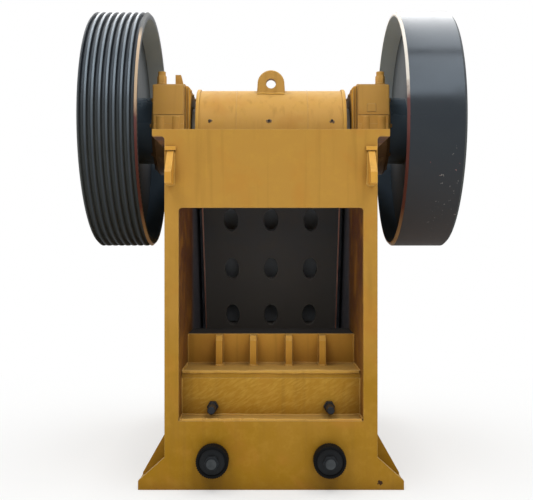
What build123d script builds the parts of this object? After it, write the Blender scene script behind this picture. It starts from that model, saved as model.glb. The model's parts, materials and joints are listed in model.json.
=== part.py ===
from build123d import *
from math import cos, radians, sin, sqrt
import os

# Single-toggle jaw crusher with a welded plate frame, in millimetres.
# X runs across the machine along the shaft, with the belt pulley at -X.
# Y runs from the toggle end at -Y to the feed and fixed jaw at +Y. Z is up.
# The origin is on the ground under the middle of the machine.

# Main frame: side walls set in from the edges of the end plates
frame_width = 1290.0
frame_height = 2184.0
wall_thickness = 60.0
wall_inset = 25.0
shaft_above_frame = 140.0
shaft_to_rear = 1100.0
ground = 0.0
overrun = 10.0

# Rear plate with its window and ears
rear_thickness = 40.0
window_sill = 417.0
window_top_drop = 476.0
window_corner = 20.0
ear_thickness = 42.0
ear_reach = 75.0
ear_fillet = 24.0
foot_reach = 160.0
foot_edge = 54.0
foot_height = 197.0

# Swing jaw, measured from the barrel axis: out towards the fixed jaw, and down the slope
nip_angle = 20.0
eccentricity = 16.0
barrel_radius = 305.0
barrel_side_gap = 33.0
barrel_chamfer = 8.0
jaw_side_gap = 42.0
jaw_front_depth = 270.0
jaw_foot_height = 344.0
jaw_edge_chamfer = 12.0
jaw_plate_foot = 60.0
jaw_lip_height = 60.0
jaw_lip_thickness = 50.0
jaw_back_top = 80.0
jaw_back_bottom = 30.0
jaw_back_root = 200.0
jaw_back_top_drop = 300.0
jaw_back_foot = 530.0
jaw_toe_back = 60.0

# Cored cells in the back of the swing jaw, between its walls and ribs
cell_columns = 3
cell_rows = 3
cell_first_drop = 650.0
cell_foot = 648.0
cell_side_wall = 93.0
cell_rib = 50.0
cell_floor_rib = 66.0
cell_back_wall = 45.0
cell_front_wall = 56.0
core_hole_width = 106.0
core_hole_height = 180.0

# Toothed jaw plates
jaw_plate_thickness = 110.0
jaw_plate_drop = 190.0
tooth_depth = 46.0
tooth_pitch = 104.0
tooth_land = 22.0
discharge_gap = 130.0
fixed_plate_foot = 450.0
fixed_plate_top_drop = 34.0
plate_side_clearance = 5.0
jaw_wedge_height = 34.0
jaw_wedge_thickness = 80.0

# Front wall and its ribs
front_thickness = 60.0
front_rib_depth = 110.0
front_rib_thickness = 40.0
front_rib_count = 5
front_rib_lowest = 420.0
front_rib_end_taper = 120.0
front_rib_end_depth = 45.0
front_post_pitch = 370.0
front_post_count = 3
front_post_setback = 20.0
ledge_height = 40.0

# Cheek plates on the chamber sides
cheek_thickness = 26.0
cheek_offset = 222.0
cheek_end_inset = 30.0
cheek_joint = 5.0
cheek_clearance = 3.0

# Eccentric shaft and its bearings
journal_radius = 160.0
journal_end_inset = 1.0
eccentric_radius = 185.0
eccentric_end_inset = 20.0
wheel_seat_radius = 150.0
shaft_end_radius = 120.0
shaft_end_length = 22.0
shaft_end_reach = 34.0
shaft_end_chamfer = 6.0
bearing_radius = 250.0
bearing_width = 150.0
running_clearance = 0.05
bearing_seat_clearance = 0.3
cover_shaft_clearance = 6.0
jaw_bearing_radius = 235.0
jaw_bearing_width = 150.0
jaw_bearing_inset = 127.0
seal_radius = 286.0
seal_thickness = 20.0

# Bearing housings, split at the shaft
housing_setback = 40.0
housing_width = 220.0
housing_half_depth = 310.0
cap_shoulder = 285.0
cap_height = 300.0
seat_shoulder = 140.0
seat_depth = 320.0
housing_flange_reach = 60.0
housing_flange_thickness = 60.0
housing_chamfer = 10.0
housing_bolt_radius = 20.0
inner_cover_setback = 5.0
inner_cover_step = 12.0
inner_cover_chamfer = 14.0
outer_cover_thickness = 16.0
outer_cover_chamfer = 6.0
cover_radius = 296.0
stud_radius = 27.0
stud_height = 78.0
stud_inset = 54.0
stud_back_share = 0.85
cap_lug_width = 52.0
cap_lug_height = 82.0
cap_lug_root = 58.0
cap_lug_back_share = 0.4
cap_lug_thickness = 45.0
cap_lug_inset = 32.0
seat_gusset_thickness = 40.0
seat_gusset_drop = 324.0
seat_gusset_lip = 20.0
seat_gusset_pitch = 230.0
seat_gusset_count = 3

# Flywheel and belt pulley
wheel_radius = 840.0
wheel_edge_chamfer = 16.0
wheel_hub_radius = 240.0
wheel_bore_clearance = 0.05
wheel_web_thickness = 64.0
wheel_web_root = 24.0
wheel_web_inset = 168.0
hub_clearance = 6.0
hub_recess = 36.0
pulley_inset = 15.0
pulley_width = 384.0
pulley_rim_thickness = 48.0
pulley_rim_draft = 32.0
flywheel_inset = 28.0
flywheel_width = 384.0
flywheel_rim_thickness = 26.0
flywheel_rim_draft = 60.0
groove_count = 8
groove_pitch = 46.0
groove_top_width = 31.0
groove_bottom_width = 18.0
groove_depth = 28.0
lock_ring_radius = 172.0
lock_ring_thickness = 26.0

# Lifting eye on the barrel
eye_face_offset = 160.0
eye_thickness = 60.0
eye_hole_radius = 35.0
eye_outer_radius = 96.0
eye_base_width = 217.0
eye_height = 334.0
eye_chamfer = 6.0

# Toggle beam across the frame, measured from the rear face and the window sill
beam_plate_thickness = 40.0
recess_depth = 190.0
shelf_height = 273.0
beam_rise = 196.0
beam_back_depth = 590.0
beam_overhang = 20.0
beam_rib_thickness = 42.0
beam_rib_depth = 130.0
beam_rib_centres_share = (-0.611, -0.211, 0.211, 0.607)
beam_rib_chamfer = 30.0

# Toggle block, shims and toggle plate
abutment_depth = 840.0
abutment_thickness = 50.0
shim_thickness = 20.0
shim_height = 310.0
shim_side_gap = 60.0
shim_foot = 103.0
block_thickness = 180.0
block_side_gap = 20.0
block_top_clearance = 10.0
block_chamfer = 40.0
block_seat_height = 203.0
toggle_end_radius = 45.0
toggle_thickness = 56.0
toggle_side_gap = 100.0
toggle_seat_clearance = 0.3
toggle_boss_offset = 150.0
toggle_boss_height = 260.0
toggle_boss_foot = 240.0
open_pivot_clearance = 6.0
toggle_hole_radius = 60.0
toggle_hole_pitch = 230.0
toggle_hole_count = 3

# Adjusting bolts through the toggle beam
adjuster_wall_distance = 196.0
adjuster_above_sill = 57.0
adjuster_radius = 24.0
adjuster_reach = 165.0
adjuster_chamfer = 4.0
adjuster_nut_across = 62.0
adjuster_nut_thickness = 36.0
adjuster_hole_clearance = 4.0

# Tension rods with their springs and caps
rod_wall_distance = 209.0
rod_height = 190.0
rod_radius = 30.0
rod_hole_clearance = 12.0
rod_eye_setback = 75.0
rod_eye_radius = 82.0
rod_eye_thickness = 40.0
rod_flat_length = 150.0
rod_nut_across = 78.0
rod_nut_thickness = 30.0
rod_end_reach = 14.0
rod_pin_radius = 22.0
cap_radius = 98.0
cap_reach = 105.0
cap_wall = 12.0
cap_end_thickness = 22.0
cap_gap = 12.0
cap_chamfer = 5.0
spring_outer_radius = 80.0
spring_inner_radius = 52.0
jaw_lug_thickness = 35.0
jaw_lug_gap = 8.0
jaw_lug_radius = 60.0

# Lugs on the rear plate
lug_edge_distance = 38.0
lug_thickness = 40.0
lug_reach = 150.0
lug_top_drop = 118.0
lug_slope_height = 153.0
lug_nose_height = 67.0
lug_bar_width = 66.0
lug_bar_height = 24.0

# Feet and side stiffeners
rail_thickness = 45.0
anchor_radius = 24.0
anchor_edge_distance = 75.0
anchor_spacing = 1700.0
foot_gusset_thickness = 30.0
foot_gusset_height = 330.0
foot_gusset_lip = 30.0
foot_gusset_edge = 10.0
foot_gusset_first = 215.0
foot_gusset_count = 4
side_rib_thickness = 36.0
side_rib_depth = 80.0
side_rib_start = 450.0
side_rib_taper = 150.0
side_rib_lowest = 640.0
side_rib_top_drop = 544.0
side_rib_count = 3

# Widths across the machine, worked out from the frame
half_frame = frame_width / 2
wall_outer = half_frame - wall_inset
half_chamber = wall_outer - wall_thickness
foot_outer = half_frame + foot_reach
jaw_width = 2 * (half_chamber - jaw_side_gap)
barrel_length = 2 * (half_chamber - barrel_side_gap)
eccentric_length = 2 * (half_chamber - eccentric_end_inset)
inner_cover_x = half_chamber + inner_cover_setback
housing_inner_x = half_chamber + housing_setback
housing_outer_x = housing_inner_x + housing_width
outer_cover_x = housing_outer_x + outer_cover_thickness
journal_end_x = housing_outer_x - journal_end_inset
hub_inner_x = outer_cover_x + hub_clearance
pulley_inner_x = hub_inner_x + pulley_inset
pulley_outer_x = pulley_inner_x + pulley_width
flywheel_inner_x = hub_inner_x + flywheel_inset
flywheel_outer_x = flywheel_inner_x + flywheel_width
wheel_web_x = hub_inner_x + wheel_web_inset
shaft_length = 2 * (pulley_outer_x + shaft_end_reach)
adjuster_x = half_chamber - adjuster_wall_distance
rod_x_place = half_chamber - rod_wall_distance
cell_width = (jaw_width - 2 * cell_side_wall - (cell_columns - 1) * cell_rib) / cell_columns
cell_column_pitch = cell_width + cell_rib

# Heights, worked out from the frame and the window sill
shaft_height = frame_height + shaft_above_frame
barrel_z = shaft_height - eccentricity
window_top = frame_height - window_top_drop
shelf_top = window_sill + shelf_height
beam_top = shelf_top + beam_rise
beam_floor_bottom = window_sill - beam_plate_thickness
block_seat_z = window_sill + block_seat_height
adjuster_height = window_sill + adjuster_above_sill
fixed_plate_top = frame_height - fixed_plate_top_drop
cheek_bottom = fixed_plate_foot + cheek_end_inset
cheek_top = fixed_plate_top - cheek_end_inset

# Drops down the slope of the swing jaw
nip = radians(nip_angle)
jaw_length = (barrel_z - jaw_foot_height) / cos(nip)
plate_bottom_drop = jaw_length - jaw_plate_foot
jaw_back_bottom_drop = jaw_length - jaw_back_foot
toggle_seat_drop = jaw_length - toggle_boss_foot
cell_row_pitch = (jaw_length - cell_foot - cell_first_drop) / (cell_rows - 1)
cell_height = cell_row_pitch - cell_floor_rib

# Places along the machine, with the origin in the middle of its length
plate_face_depth = jaw_front_depth + jaw_plate_thickness
jaw_face_reach = cos(nip) * plate_face_depth + sin(nip) * plate_bottom_drop
front_reach = jaw_face_reach + discharge_gap + jaw_plate_thickness + front_thickness + front_rib_depth
shaft_y = (shaft_to_rear + lug_reach - front_reach) / 2
rear_face = shaft_y - shaft_to_rear
rear_inner = rear_face + rear_thickness
fixed_face = shaft_y + jaw_face_reach + discharge_gap
front_inner = fixed_face + jaw_plate_thickness
front_outer = front_inner + front_thickness
recess_face = rear_face + recess_depth
beam_back = rear_face + beam_back_depth
abutment_face = rear_face + abutment_depth
block_back = abutment_face + shim_thickness
block_front = block_back + block_thickness
beam_front = block_front - beam_overhang
jaw_slope = Location((0, shaft_y, barrel_z), (nip_angle, 0, 0))


def jaw_point(offset, drop):
    """Y and Z of a point on the swing jaw, from its offset and its drop down the slope."""
    return (
        shaft_y + offset * cos(nip) + drop * sin(nip),
        barrel_z + offset * sin(nip) - drop * cos(nip),
    )


def jaw_line_y(offset, z):
    """Y at height z on the line that runs down the swing jaw at this offset."""
    drop = (barrel_z + offset * sin(nip) - z) / cos(nip)
    return jaw_point(offset, drop)[0]


def block(x0, x1, y0, y1, z0, z1):
    """A plate or bar between six faces."""
    middle = Location(((x0 + x1) / 2, (y0 + y1) / 2, (z0 + z1) / 2))
    return middle * Box(abs(x1 - x0), abs(y1 - y0), abs(z1 - z0))


def slab_yz(points, x0, x1):
    """A plate that stands along the machine, from its outline in Y and Z."""
    outline = Polyline([(x0, y, z) for y, z in points], close=True)
    return extrude(make_face(outline), amount=x1 - x0, dir=(1, 0, 0))


def slab_xz(points, y0, y1):
    """A plate that stands across the machine, from its outline in X and Z."""
    outline = Polyline([(x, y0, z) for x, z in points], close=True)
    return extrude(make_face(outline), amount=y1 - y0, dir=(0, 1, 0))


def slab_xy(points, z0, z1):
    """A level plate, from its outline in X and Y."""
    outline = Polyline([(x, y, z0) for x, y in points], close=True)
    return extrude(make_face(outline), amount=z1 - z0, dir=(0, 0, 1))


def rod_x(radius, x0, x1, y, z):
    """A round bar along X."""
    return Location(((x0 + x1) / 2, y, z), (0, 90, 0)) * Cylinder(radius, abs(x1 - x0))


def rod_y(radius, y0, y1, x, z):
    """A round bar along Y."""
    return Location((x, (y0 + y1) / 2, z), (90, 0, 0)) * Cylinder(radius, abs(y1 - y0))


def rod_z(radius, z0, z1, x, y):
    """A round bar along Z."""
    return Location((x, y, (z0 + z1) / 2)) * Cylinder(radius, abs(z1 - z0))


def nut_y(across, y0, y1, x, z):
    """A hexagon nut along Y."""
    face = Location((x, y0, z), (-90, 0, 0)) * RegularPolygon(across / 2, 6, major_radius=False)
    return extrude(face, amount=y1 - y0, dir=(0, 1, 0))


def on_side(piece, side):
    """The piece as it stands on the right, or its mirror image on the left."""
    return piece if side > 0 else mirror(piece, Plane.YZ)


def both_sides(piece):
    """The piece and its mirror image on the other side of the machine."""
    return Compound(children=[*piece.solids(), *mirror(piece, Plane.YZ).solids()])


def group(pieces):
    """Separate like solids that share a node."""
    return Compound(children=[solid for piece in pieces for solid in piece.solids()])


# Frame plates
def foot_outline():
    """Half outline of an end plate, from the foot's outer edge up to the frame's side."""
    return [(foot_outer, ground), (foot_outer, foot_edge), (half_frame, foot_height)]


def rear_plate():
    ear_bottom = frame_height - ear_thickness
    right = [
        *foot_outline(),
        (half_frame, ear_bottom),
        (half_frame + ear_reach, ear_bottom),
        (half_frame + ear_reach, frame_height),
    ]
    left = [(-x, z) for x, z in reversed(right)]
    plate = slab_xz(right + left, rear_face, rear_inner)
    corners = plate.edges().filter_by(Axis.Y).group_by(Axis.Z)[-2]
    inner_corners = [edge for edge in corners if abs(edge.center().X) < half_frame + ear_reach / 2]
    plate = fillet(inner_corners, ear_fillet)
    y0, y1 = rear_face - overrun, rear_inner + overrun
    window = block(-half_chamber, half_chamber, y0, y1, window_sill, window_top)
    top_corners = window.edges().filter_by(Axis.Y).group_by(Axis.Z)[-1]
    plate -= fillet(top_corners, window_corner)
    for x in (-rod_x_place, rod_x_place):
        plate -= rod_y(rod_radius + rod_hole_clearance, y0, y1, x, rod_height)
    return plate


def front_wall():
    right = [*foot_outline(), (half_frame, frame_height)]
    left = [(-x, z) for x, z in reversed(right)]
    wall = slab_xz(right + left, front_inner, front_outer)
    ledge_bottom = fixed_plate_foot - ledge_height
    ledge_back = front_inner - jaw_plate_thickness + tooth_depth
    wall += block(-half_chamber, half_chamber, ledge_back, front_inner, ledge_bottom, fixed_plate_foot)
    return wall


def front_rib_levels():
    pitch = (frame_height - front_rib_thickness - front_rib_lowest) / (front_rib_count - 1)
    return [front_rib_lowest + pitch * i for i in range(front_rib_count)]


def front_ribs():
    inner_x = half_frame - front_rib_end_taper
    right = [
        (half_frame, front_outer),
        (half_frame, front_outer + front_rib_end_depth),
        (inner_x, front_outer + front_rib_depth),
    ]
    left = [(-x, y) for x, y in reversed(right)]
    return group([slab_xy(right + left, z, z + front_rib_thickness) for z in front_rib_levels()])


def front_posts():
    posts = []
    levels = [ground - front_rib_thickness, *front_rib_levels()]
    for i in range(front_post_count):
        x = (i - (front_post_count - 1) / 2) * front_post_pitch
        half = front_rib_thickness / 2
        for low, high in zip(levels, levels[1:]):
            z0 = low + front_rib_thickness
            y1 = front_outer + front_rib_depth - front_post_setback
            posts.append(block(x - half, x + half, front_outer, y1, z0, high))
    return group(posts)


def housing_outline(x, direction):
    """Outline of half a bearing housing in the plane at x: 1 gives the cap, -1 the seat."""
    shoulder_height = cap_shoulder if direction > 0 else seat_shoulder
    height = cap_height if direction > 0 else seat_depth
    shoulder = [
        (-housing_half_depth, shoulder_height),
        (-housing_half_depth, housing_flange_thickness),
        (-housing_half_depth - housing_flange_reach, housing_flange_thickness),
        (-housing_half_depth - housing_flange_reach, 0),
    ]
    points = shoulder + [(-y, z) for y, z in reversed(shoulder)]
    placed = [(x, shaft_y + y, shaft_height + direction * z) for y, z in points]
    crown = (x, shaft_y, shaft_height + direction * height)
    return make_face([*Polyline(placed).edges(), *ThreePointArc(placed[0], crown, placed[-1]).edges()])


def housing_solid(direction, x0, x1):
    return extrude(housing_outline(x0, direction), amount=x1 - x0, dir=(1, 0, 0))


def housing_casting(direction):
    """Half a housing on the right side, with its outer edges chamfered."""
    casting = housing_solid(direction, housing_inner_x, housing_outer_x)
    return chamfer(casting.faces().sort_by(Axis.X)[-1].edges(), housing_chamfer)


def housing_bore():
    radius = bearing_radius + bearing_seat_clearance
    return rod_x(radius, inner_cover_x - overrun, housing_outer_x + overrun, shaft_y, shaft_height)


def side_wall(side):
    outline = [
        (rear_inner, ground),
        (front_inner, ground),
        (front_inner, frame_height),
        (rear_inner, frame_height),
    ]
    wall = slab_yz(outline, half_chamber, wall_outer)
    wall -= housing_solid(-1, half_chamber - overrun, wall_outer + overrun)
    return on_side(wall, side)


def top_flanges():
    """Flanges along the tops of the side walls, in line with the ears."""
    x1 = half_frame + ear_reach
    z0 = frame_height - ear_thickness
    spans = (
        (rear_inner, shaft_y - housing_half_depth),
        (shaft_y + housing_half_depth, front_inner),
    )
    return both_sides(group([block(wall_outer, x1, y0, y1, z0, frame_height) for y0, y1 in spans]))


def foot_rail(side):
    """Bottom flange of a side wall, with its two anchor holes."""
    rail = block(wall_outer, foot_outer, rear_inner, front_inner, ground, rail_thickness)
    x = foot_outer - anchor_edge_distance
    for y in (-anchor_spacing / 2, anchor_spacing / 2):
        rail -= rod_z(anchor_radius, ground - overrun, rail_thickness + overrun, x, y)
    return on_side(rail, side)


def foot_gusset_places():
    first = rear_face + foot_gusset_first
    last = front_inner - foot_gusset_first
    pitch = (last - first) / (foot_gusset_count - 1)
    return [first + pitch * i for i in range(foot_gusset_count)]


def foot_gussets():
    outline = [
        (wall_outer, rail_thickness),
        (foot_outer, rail_thickness),
        (foot_outer, rail_thickness + foot_gusset_edge),
        (wall_outer + foot_gusset_lip, foot_gusset_height),
        (wall_outer, foot_gusset_height),
    ]
    plates = []
    for y in foot_gusset_places():
        half = foot_gusset_thickness / 2
        plates.append(slab_xz(outline, y - half, y + half))
    return both_sides(group(plates))


def side_rib_heights():
    pitch = (frame_height - side_rib_top_drop - side_rib_lowest) / (side_rib_count - 1)
    return [side_rib_lowest + pitch * i for i in range(side_rib_count)]


def side_ribs():
    """Level stiffeners on the outside of the side walls, tapered at the rear."""
    start = rear_face + side_rib_start
    outline = [
        (wall_outer, start),
        (wall_outer + side_rib_depth, start + side_rib_taper),
        (wall_outer + side_rib_depth, front_inner),
        (wall_outer, front_inner),
    ]
    ribs = [slab_xy(outline, z, z + side_rib_thickness) for z in side_rib_heights()]
    return both_sides(group(ribs))


def side_posts():
    """Upright stiffeners over the middle foot gussets, between the level ribs."""
    posts = []
    half = side_rib_thickness / 2
    levels = [foot_gusset_height - side_rib_thickness, *side_rib_heights()]
    for y in foot_gusset_places()[1:-1]:
        for low, high in zip(levels, levels[1:]):
            z0 = low + side_rib_thickness
            posts.append(block(wall_outer, wall_outer + side_rib_depth, y - half, y + half, z0, high))
    return both_sides(group(posts))


def rear_lug():
    """Upright lug on the rear plate, with its short bar across the top."""
    centre = half_frame - lug_edge_distance
    top = frame_height - lug_top_drop
    nose_top = top - lug_slope_height
    nose_bottom = nose_top - lug_nose_height
    outline = [
        (rear_face, top),
        (rear_face - lug_reach, nose_top),
        (rear_face - lug_reach, nose_bottom),
        (rear_face, nose_bottom),
    ]
    lug = slab_yz(outline, centre - lug_thickness / 2, centre + lug_thickness / 2)
    x0, x1 = centre - lug_bar_width / 2, centre + lug_bar_width / 2
    z0, z1 = top - lug_bar_height / 2, top + lug_bar_height / 2
    return lug + block(x0, x1, rear_face - lug_bar_height, rear_face, z0, z1)


# Bearing housings
def bearing_seat(side):
    """Lower half of a housing, which also fills the cut-out in the side wall."""
    reach = housing_half_depth + housing_flange_reach
    y0, y1 = shaft_y - reach, shaft_y + reach
    in_wall = block(inner_cover_x, housing_inner_x, y0, y1, frame_height - seat_depth, frame_height)
    seat = housing_casting(-1) + (housing_solid(-1, inner_cover_x, housing_inner_x) & in_wall)
    return on_side(seat - housing_bore() - housing_bolt_holes(), side)


def housing_bolt_holes():
    holes = []
    y_reach = housing_half_depth + housing_flange_reach / 2
    top = shaft_height + housing_flange_thickness + overrun
    bottom = shaft_height - housing_flange_thickness - overrun
    for x in (housing_inner_x + housing_width / 4, housing_outer_x - housing_width / 4):
        for y in (shaft_y - y_reach, shaft_y + y_reach):
            holes.append(rod_z(housing_bolt_radius, bottom, top, x, y))
    return group(holes)


def bearing_cap(side):
    """Upper half of a housing, with its stud, and on the left one more lug."""
    cap = housing_casting(1)
    crown = shaft_height + cap_height
    stud_foot = shaft_height + bearing_radius
    stud_y = shaft_y - housing_half_depth * stud_back_share
    cap += rod_z(stud_radius, stud_foot, crown + stud_height, housing_outer_x - stud_inset, stud_y)
    if side < 0:
        x0 = housing_inner_x + cap_lug_inset
        x1 = x0 + cap_lug_width
        outline = [
            (x1, crown - cap_lug_root),
            (x0 - cap_lug_root / 4, crown - cap_lug_root),
            (x0 - cap_lug_root / 4, crown - cap_lug_root / 2),
            (x0 + cap_lug_width / 4, crown + cap_lug_height),
            (x1, crown + cap_lug_height),
        ]
        lug_y = shaft_y - housing_half_depth * cap_lug_back_share
        cap += slab_xz(outline, lug_y - cap_lug_thickness / 2, lug_y + cap_lug_thickness / 2)
    return on_side(cap - housing_bore() - housing_bolt_holes(), side)


def seat_gussets():
    """Brackets that carry the housings outside the side walls."""
    foot = frame_height - seat_gusset_drop
    outline = [
        (wall_outer, foot),
        (wall_outer + seat_gusset_lip, foot),
        (housing_outer_x, frame_height - ear_thickness),
        (wall_outer, frame_height - ear_thickness),
    ]
    gussets = []
    for i in range(seat_gusset_count):
        y = shaft_y + (i - (seat_gusset_count - 1) / 2) * seat_gusset_pitch
        half = seat_gusset_thickness / 2
        gussets.append(slab_xz(outline, y - half, y + half))
    cut = housing_solid(-1, wall_outer - overrun, housing_outer_x + overrun)
    return both_sides(group([gusset - cut for gusset in gussets]))


def ring_x(outer, inner, x0, x1, y, z):
    return rod_x(outer, x0, x1, y, z) - rod_x(inner, x0 - overrun, x1 + overrun, y, z)


def inner_covers():
    """Square covers on the inner sides of the housings, one step lower than the caps."""
    half_depth = housing_half_depth - inner_cover_step
    top = shaft_height + cap_shoulder - inner_cover_step
    cover = block(inner_cover_x, housing_inner_x, shaft_y - half_depth, shaft_y + half_depth, frame_height, top)
    edges = cover.faces().sort_by(Axis.X)[0].edges().sort_by(Axis.Z)[1:]
    cover = chamfer(edges, inner_cover_chamfer)
    bore = journal_radius + cover_shaft_clearance
    cut = rod_x(bore, inner_cover_x - overrun, housing_inner_x + overrun, shaft_y, shaft_height)
    return both_sides(cover - cut)


def outer_covers():
    bore = wheel_seat_radius + cover_shaft_clearance
    cover = rod_x(cover_radius, housing_outer_x, outer_cover_x, shaft_y, shaft_height)
    rim = cover.edges().filter_by(GeomType.CIRCLE).sort_by(Axis.X)[-1]
    cover = chamfer(rim, outer_cover_chamfer)
    return both_sides(cover - rod_x(bore, housing_inner_x, outer_cover_x + overrun, shaft_y, shaft_height))


def main_bearings():
    middle = (housing_inner_x + housing_outer_x) / 2
    x0 = middle - bearing_width / 2
    bore = journal_radius + running_clearance
    return both_sides(ring_x(bearing_radius, bore, x0, x0 + bearing_width, shaft_y, shaft_height))


# Shaft and wheels
def eccentric_shaft():
    seat_end = shaft_length / 2 - shaft_end_length
    shaft = rod_x(journal_radius, -journal_end_x, journal_end_x, shaft_y, shaft_height)
    shaft += rod_x(eccentric_radius, -eccentric_length / 2, eccentric_length / 2, shaft_y, barrel_z)
    shaft += rod_x(wheel_seat_radius, -seat_end, seat_end, shaft_y, shaft_height)
    end_bar = rod_x(shaft_end_radius, -shaft_length / 2, shaft_length / 2, shaft_y, shaft_height)
    return shaft + chamfer(end_bar.edges().filter_by(GeomType.CIRCLE), shaft_end_chamfer)


def revolved_wheel(points):
    """A wheel about the shaft, from its section given by places along X and radii."""
    section = Polyline([(x, shaft_y, shaft_height + radius) for x, radius in points], close=True)
    axis = Axis((0, shaft_y, shaft_height), (1, 0, 0))
    return revolve(make_face(section), axis=axis)


def wheel_section(inner_x, outer_x, rim_thickness, rim_draft, groove_points):
    """Half section of a cast wheel: hub, web, drafted rim and its chamfered edges."""
    bore = wheel_seat_radius + wheel_bore_clearance
    rim_edge = wheel_radius - rim_thickness
    rim_root = rim_edge - rim_draft
    web_half = wheel_web_thickness / 2
    root_half = web_half + wheel_web_root / 2
    hub_outer = outer_x - hub_recess
    cut = wheel_edge_chamfer
    return [
        (hub_inner_x, bore),
        (hub_inner_x, wheel_hub_radius),
        (wheel_web_x - root_half, wheel_hub_radius),
        (wheel_web_x - web_half, rim_root),
        (inner_x, rim_edge),
        (inner_x, wheel_radius - cut),
        (inner_x + cut, wheel_radius),
        *groove_points,
        (outer_x - cut, wheel_radius),
        (outer_x, wheel_radius - cut),
        (outer_x, rim_edge),
        (wheel_web_x + web_half, rim_root),
        (wheel_web_x + root_half, wheel_hub_radius),
        (hub_outer, wheel_hub_radius),
        (hub_outer, bore),
    ]


def flywheel():
    section = wheel_section(
        flywheel_inner_x, flywheel_outer_x, flywheel_rim_thickness, flywheel_rim_draft, [])
    return revolved_wheel(section)


def belt_pulley():
    """The pulley, with a row of V grooves round its rim."""
    first = (pulley_inner_x + pulley_outer_x) / 2 - (groove_count - 1) * groove_pitch / 2
    floor = wheel_radius - groove_depth
    grooves = []
    for i in range(groove_count):
        centre = first + i * groove_pitch
        grooves += [
            (centre - groove_top_width / 2, wheel_radius),
            (centre - groove_bottom_width / 2, floor),
            (centre + groove_bottom_width / 2, floor),
            (centre + groove_top_width / 2, wheel_radius),
        ]
    section = wheel_section(
        pulley_inner_x, pulley_outer_x, pulley_rim_thickness, pulley_rim_draft, grooves)
    return mirror(revolved_wheel(section), Plane.YZ)


def wheel_lock_rings():
    bore = wheel_seat_radius + wheel_bore_clearance
    rings = []
    for side, outer_x in ((-1, pulley_outer_x), (1, flywheel_outer_x)):
        x0 = outer_x - hub_recess
        ring = ring_x(lock_ring_radius, bore, x0, x0 + lock_ring_thickness, shaft_y, shaft_height)
        rings.append(on_side(ring, side))
    return group(rings)


# Swing jaw, built upright about the barrel and then leaned by the nip angle
def jaw_body():
    half = jaw_width / 2
    lip_depth = jaw_front_depth + jaw_lip_height
    boss_half = toggle_boss_height / 2
    outline = [
        (jaw_front_depth, 0),
        (jaw_front_depth, -plate_bottom_drop),
        (lip_depth, -plate_bottom_drop),
        (lip_depth, -plate_bottom_drop - jaw_lip_thickness),
        (jaw_front_depth, -jaw_length),
        (-jaw_toe_back, -jaw_length),
        (-toggle_boss_offset, -toggle_seat_drop - boss_half),
        (-toggle_boss_offset, -toggle_seat_drop + boss_half),
        (-jaw_back_bottom, -jaw_back_bottom_drop),
        (-jaw_back_top, -jaw_back_top_drop),
        (-jaw_back_root, 0),
    ]
    body = slab_yz(outline, -half, half)
    ends = body.faces().filter_by(Axis.X).edges()
    back_edges = [edge for edge in ends if edge.center().Y < -jaw_back_bottom / 2]
    return chamfer(back_edges, jaw_edge_chamfer)


def back_offset(drop):
    """Offset of the jaw's back at this drop."""
    share = (drop - jaw_back_top_drop) / (jaw_back_bottom_drop - jaw_back_top_drop)
    return -jaw_back_top + share * (jaw_back_top - jaw_back_bottom)


def jaw_cells():
    """The cored cells between the jaw's ribs, each with its oval core hole."""
    cells = []
    for row in range(cell_rows):
        drop = cell_first_drop + row * cell_row_pitch
        top = drop - cell_height / 2
        bottom = drop + cell_height / 2
        outline = [
            (back_offset(top) + cell_back_wall, -top),
            (jaw_front_depth - cell_front_wall, -top),
            (jaw_front_depth - cell_front_wall, -bottom),
            (back_offset(bottom) + cell_back_wall, -bottom),
        ]
        for column in range(cell_columns):
            x = (column - (cell_columns - 1) / 2) * cell_column_pitch
            cell = slab_yz(outline, x - cell_width / 2, x + cell_width / 2)
            hole_start = back_offset(drop) - cell_back_wall
            hole_plane = Plane((x, hole_start, -drop), x_dir=(1, 0, 0), z_dir=(0, 1, 0))
            hole = hole_plane * Ellipse(core_hole_width / 2, core_hole_height / 2)
            cells.append(cell + extrude(hole, amount=2 * cell_back_wall + overrun))
    return cells


def rod_eye_y():
    return jaw_point(0, jaw_length)[0] - rod_eye_setback


def tension_lugs():
    """Lugs under the jaw with the pins for the tension rods, in the machine's own frame."""
    pin_y = rod_eye_y()
    pin_z = rod_height - eccentricity
    outline = [
        (pin_y - jaw_lug_radius, pin_z),
        (pin_y + jaw_lug_radius, pin_z),
        jaw_point(jaw_front_depth / 2, jaw_length - jaw_lip_thickness),
        jaw_point(-jaw_toe_back / 2, jaw_length - jaw_lip_thickness),
    ]
    inner = rod_eye_thickness / 2 + jaw_lug_gap
    outer = inner + jaw_lug_thickness
    pieces = []
    for x in (-rod_x_place, rod_x_place):
        for x0, x1 in ((x - outer, x - inner), (x + inner, x + outer)):
            pieces.append(slab_yz(outline, x0, x1))
            pieces.append(rod_x(jaw_lug_radius, x0, x1, pin_y, pin_z))
        pieces.append(rod_x(rod_pin_radius, x - outer, x + outer, pin_y, pin_z))
    return pieces


def swing_jaw():
    half = barrel_length / 2
    barrel = rod_x(barrel_radius, -half, half, 0, 0)
    barrel = chamfer(barrel.edges().filter_by(GeomType.CIRCLE), barrel_chamfer)
    casting = jaw_body() + barrel
    for cell in jaw_cells():
        casting -= cell
    groove_radius = toggle_end_radius + eccentricity + open_pivot_clearance
    casting -= rod_x(groove_radius, -jaw_width, jaw_width, -toggle_boss_offset, -toggle_seat_drop)
    casting -= rod_x(jaw_bearing_radius + running_clearance, -jaw_width, jaw_width, 0, 0)
    for side in (-1, 1):
        x0, x1 = sorted((side * (half - seal_thickness), side * (half + overrun)))
        casting -= rod_x(seal_radius, x0, x1, 0, 0)
    casting = jaw_slope * casting
    for lug in tension_lugs():
        casting += lug
    return casting


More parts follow.
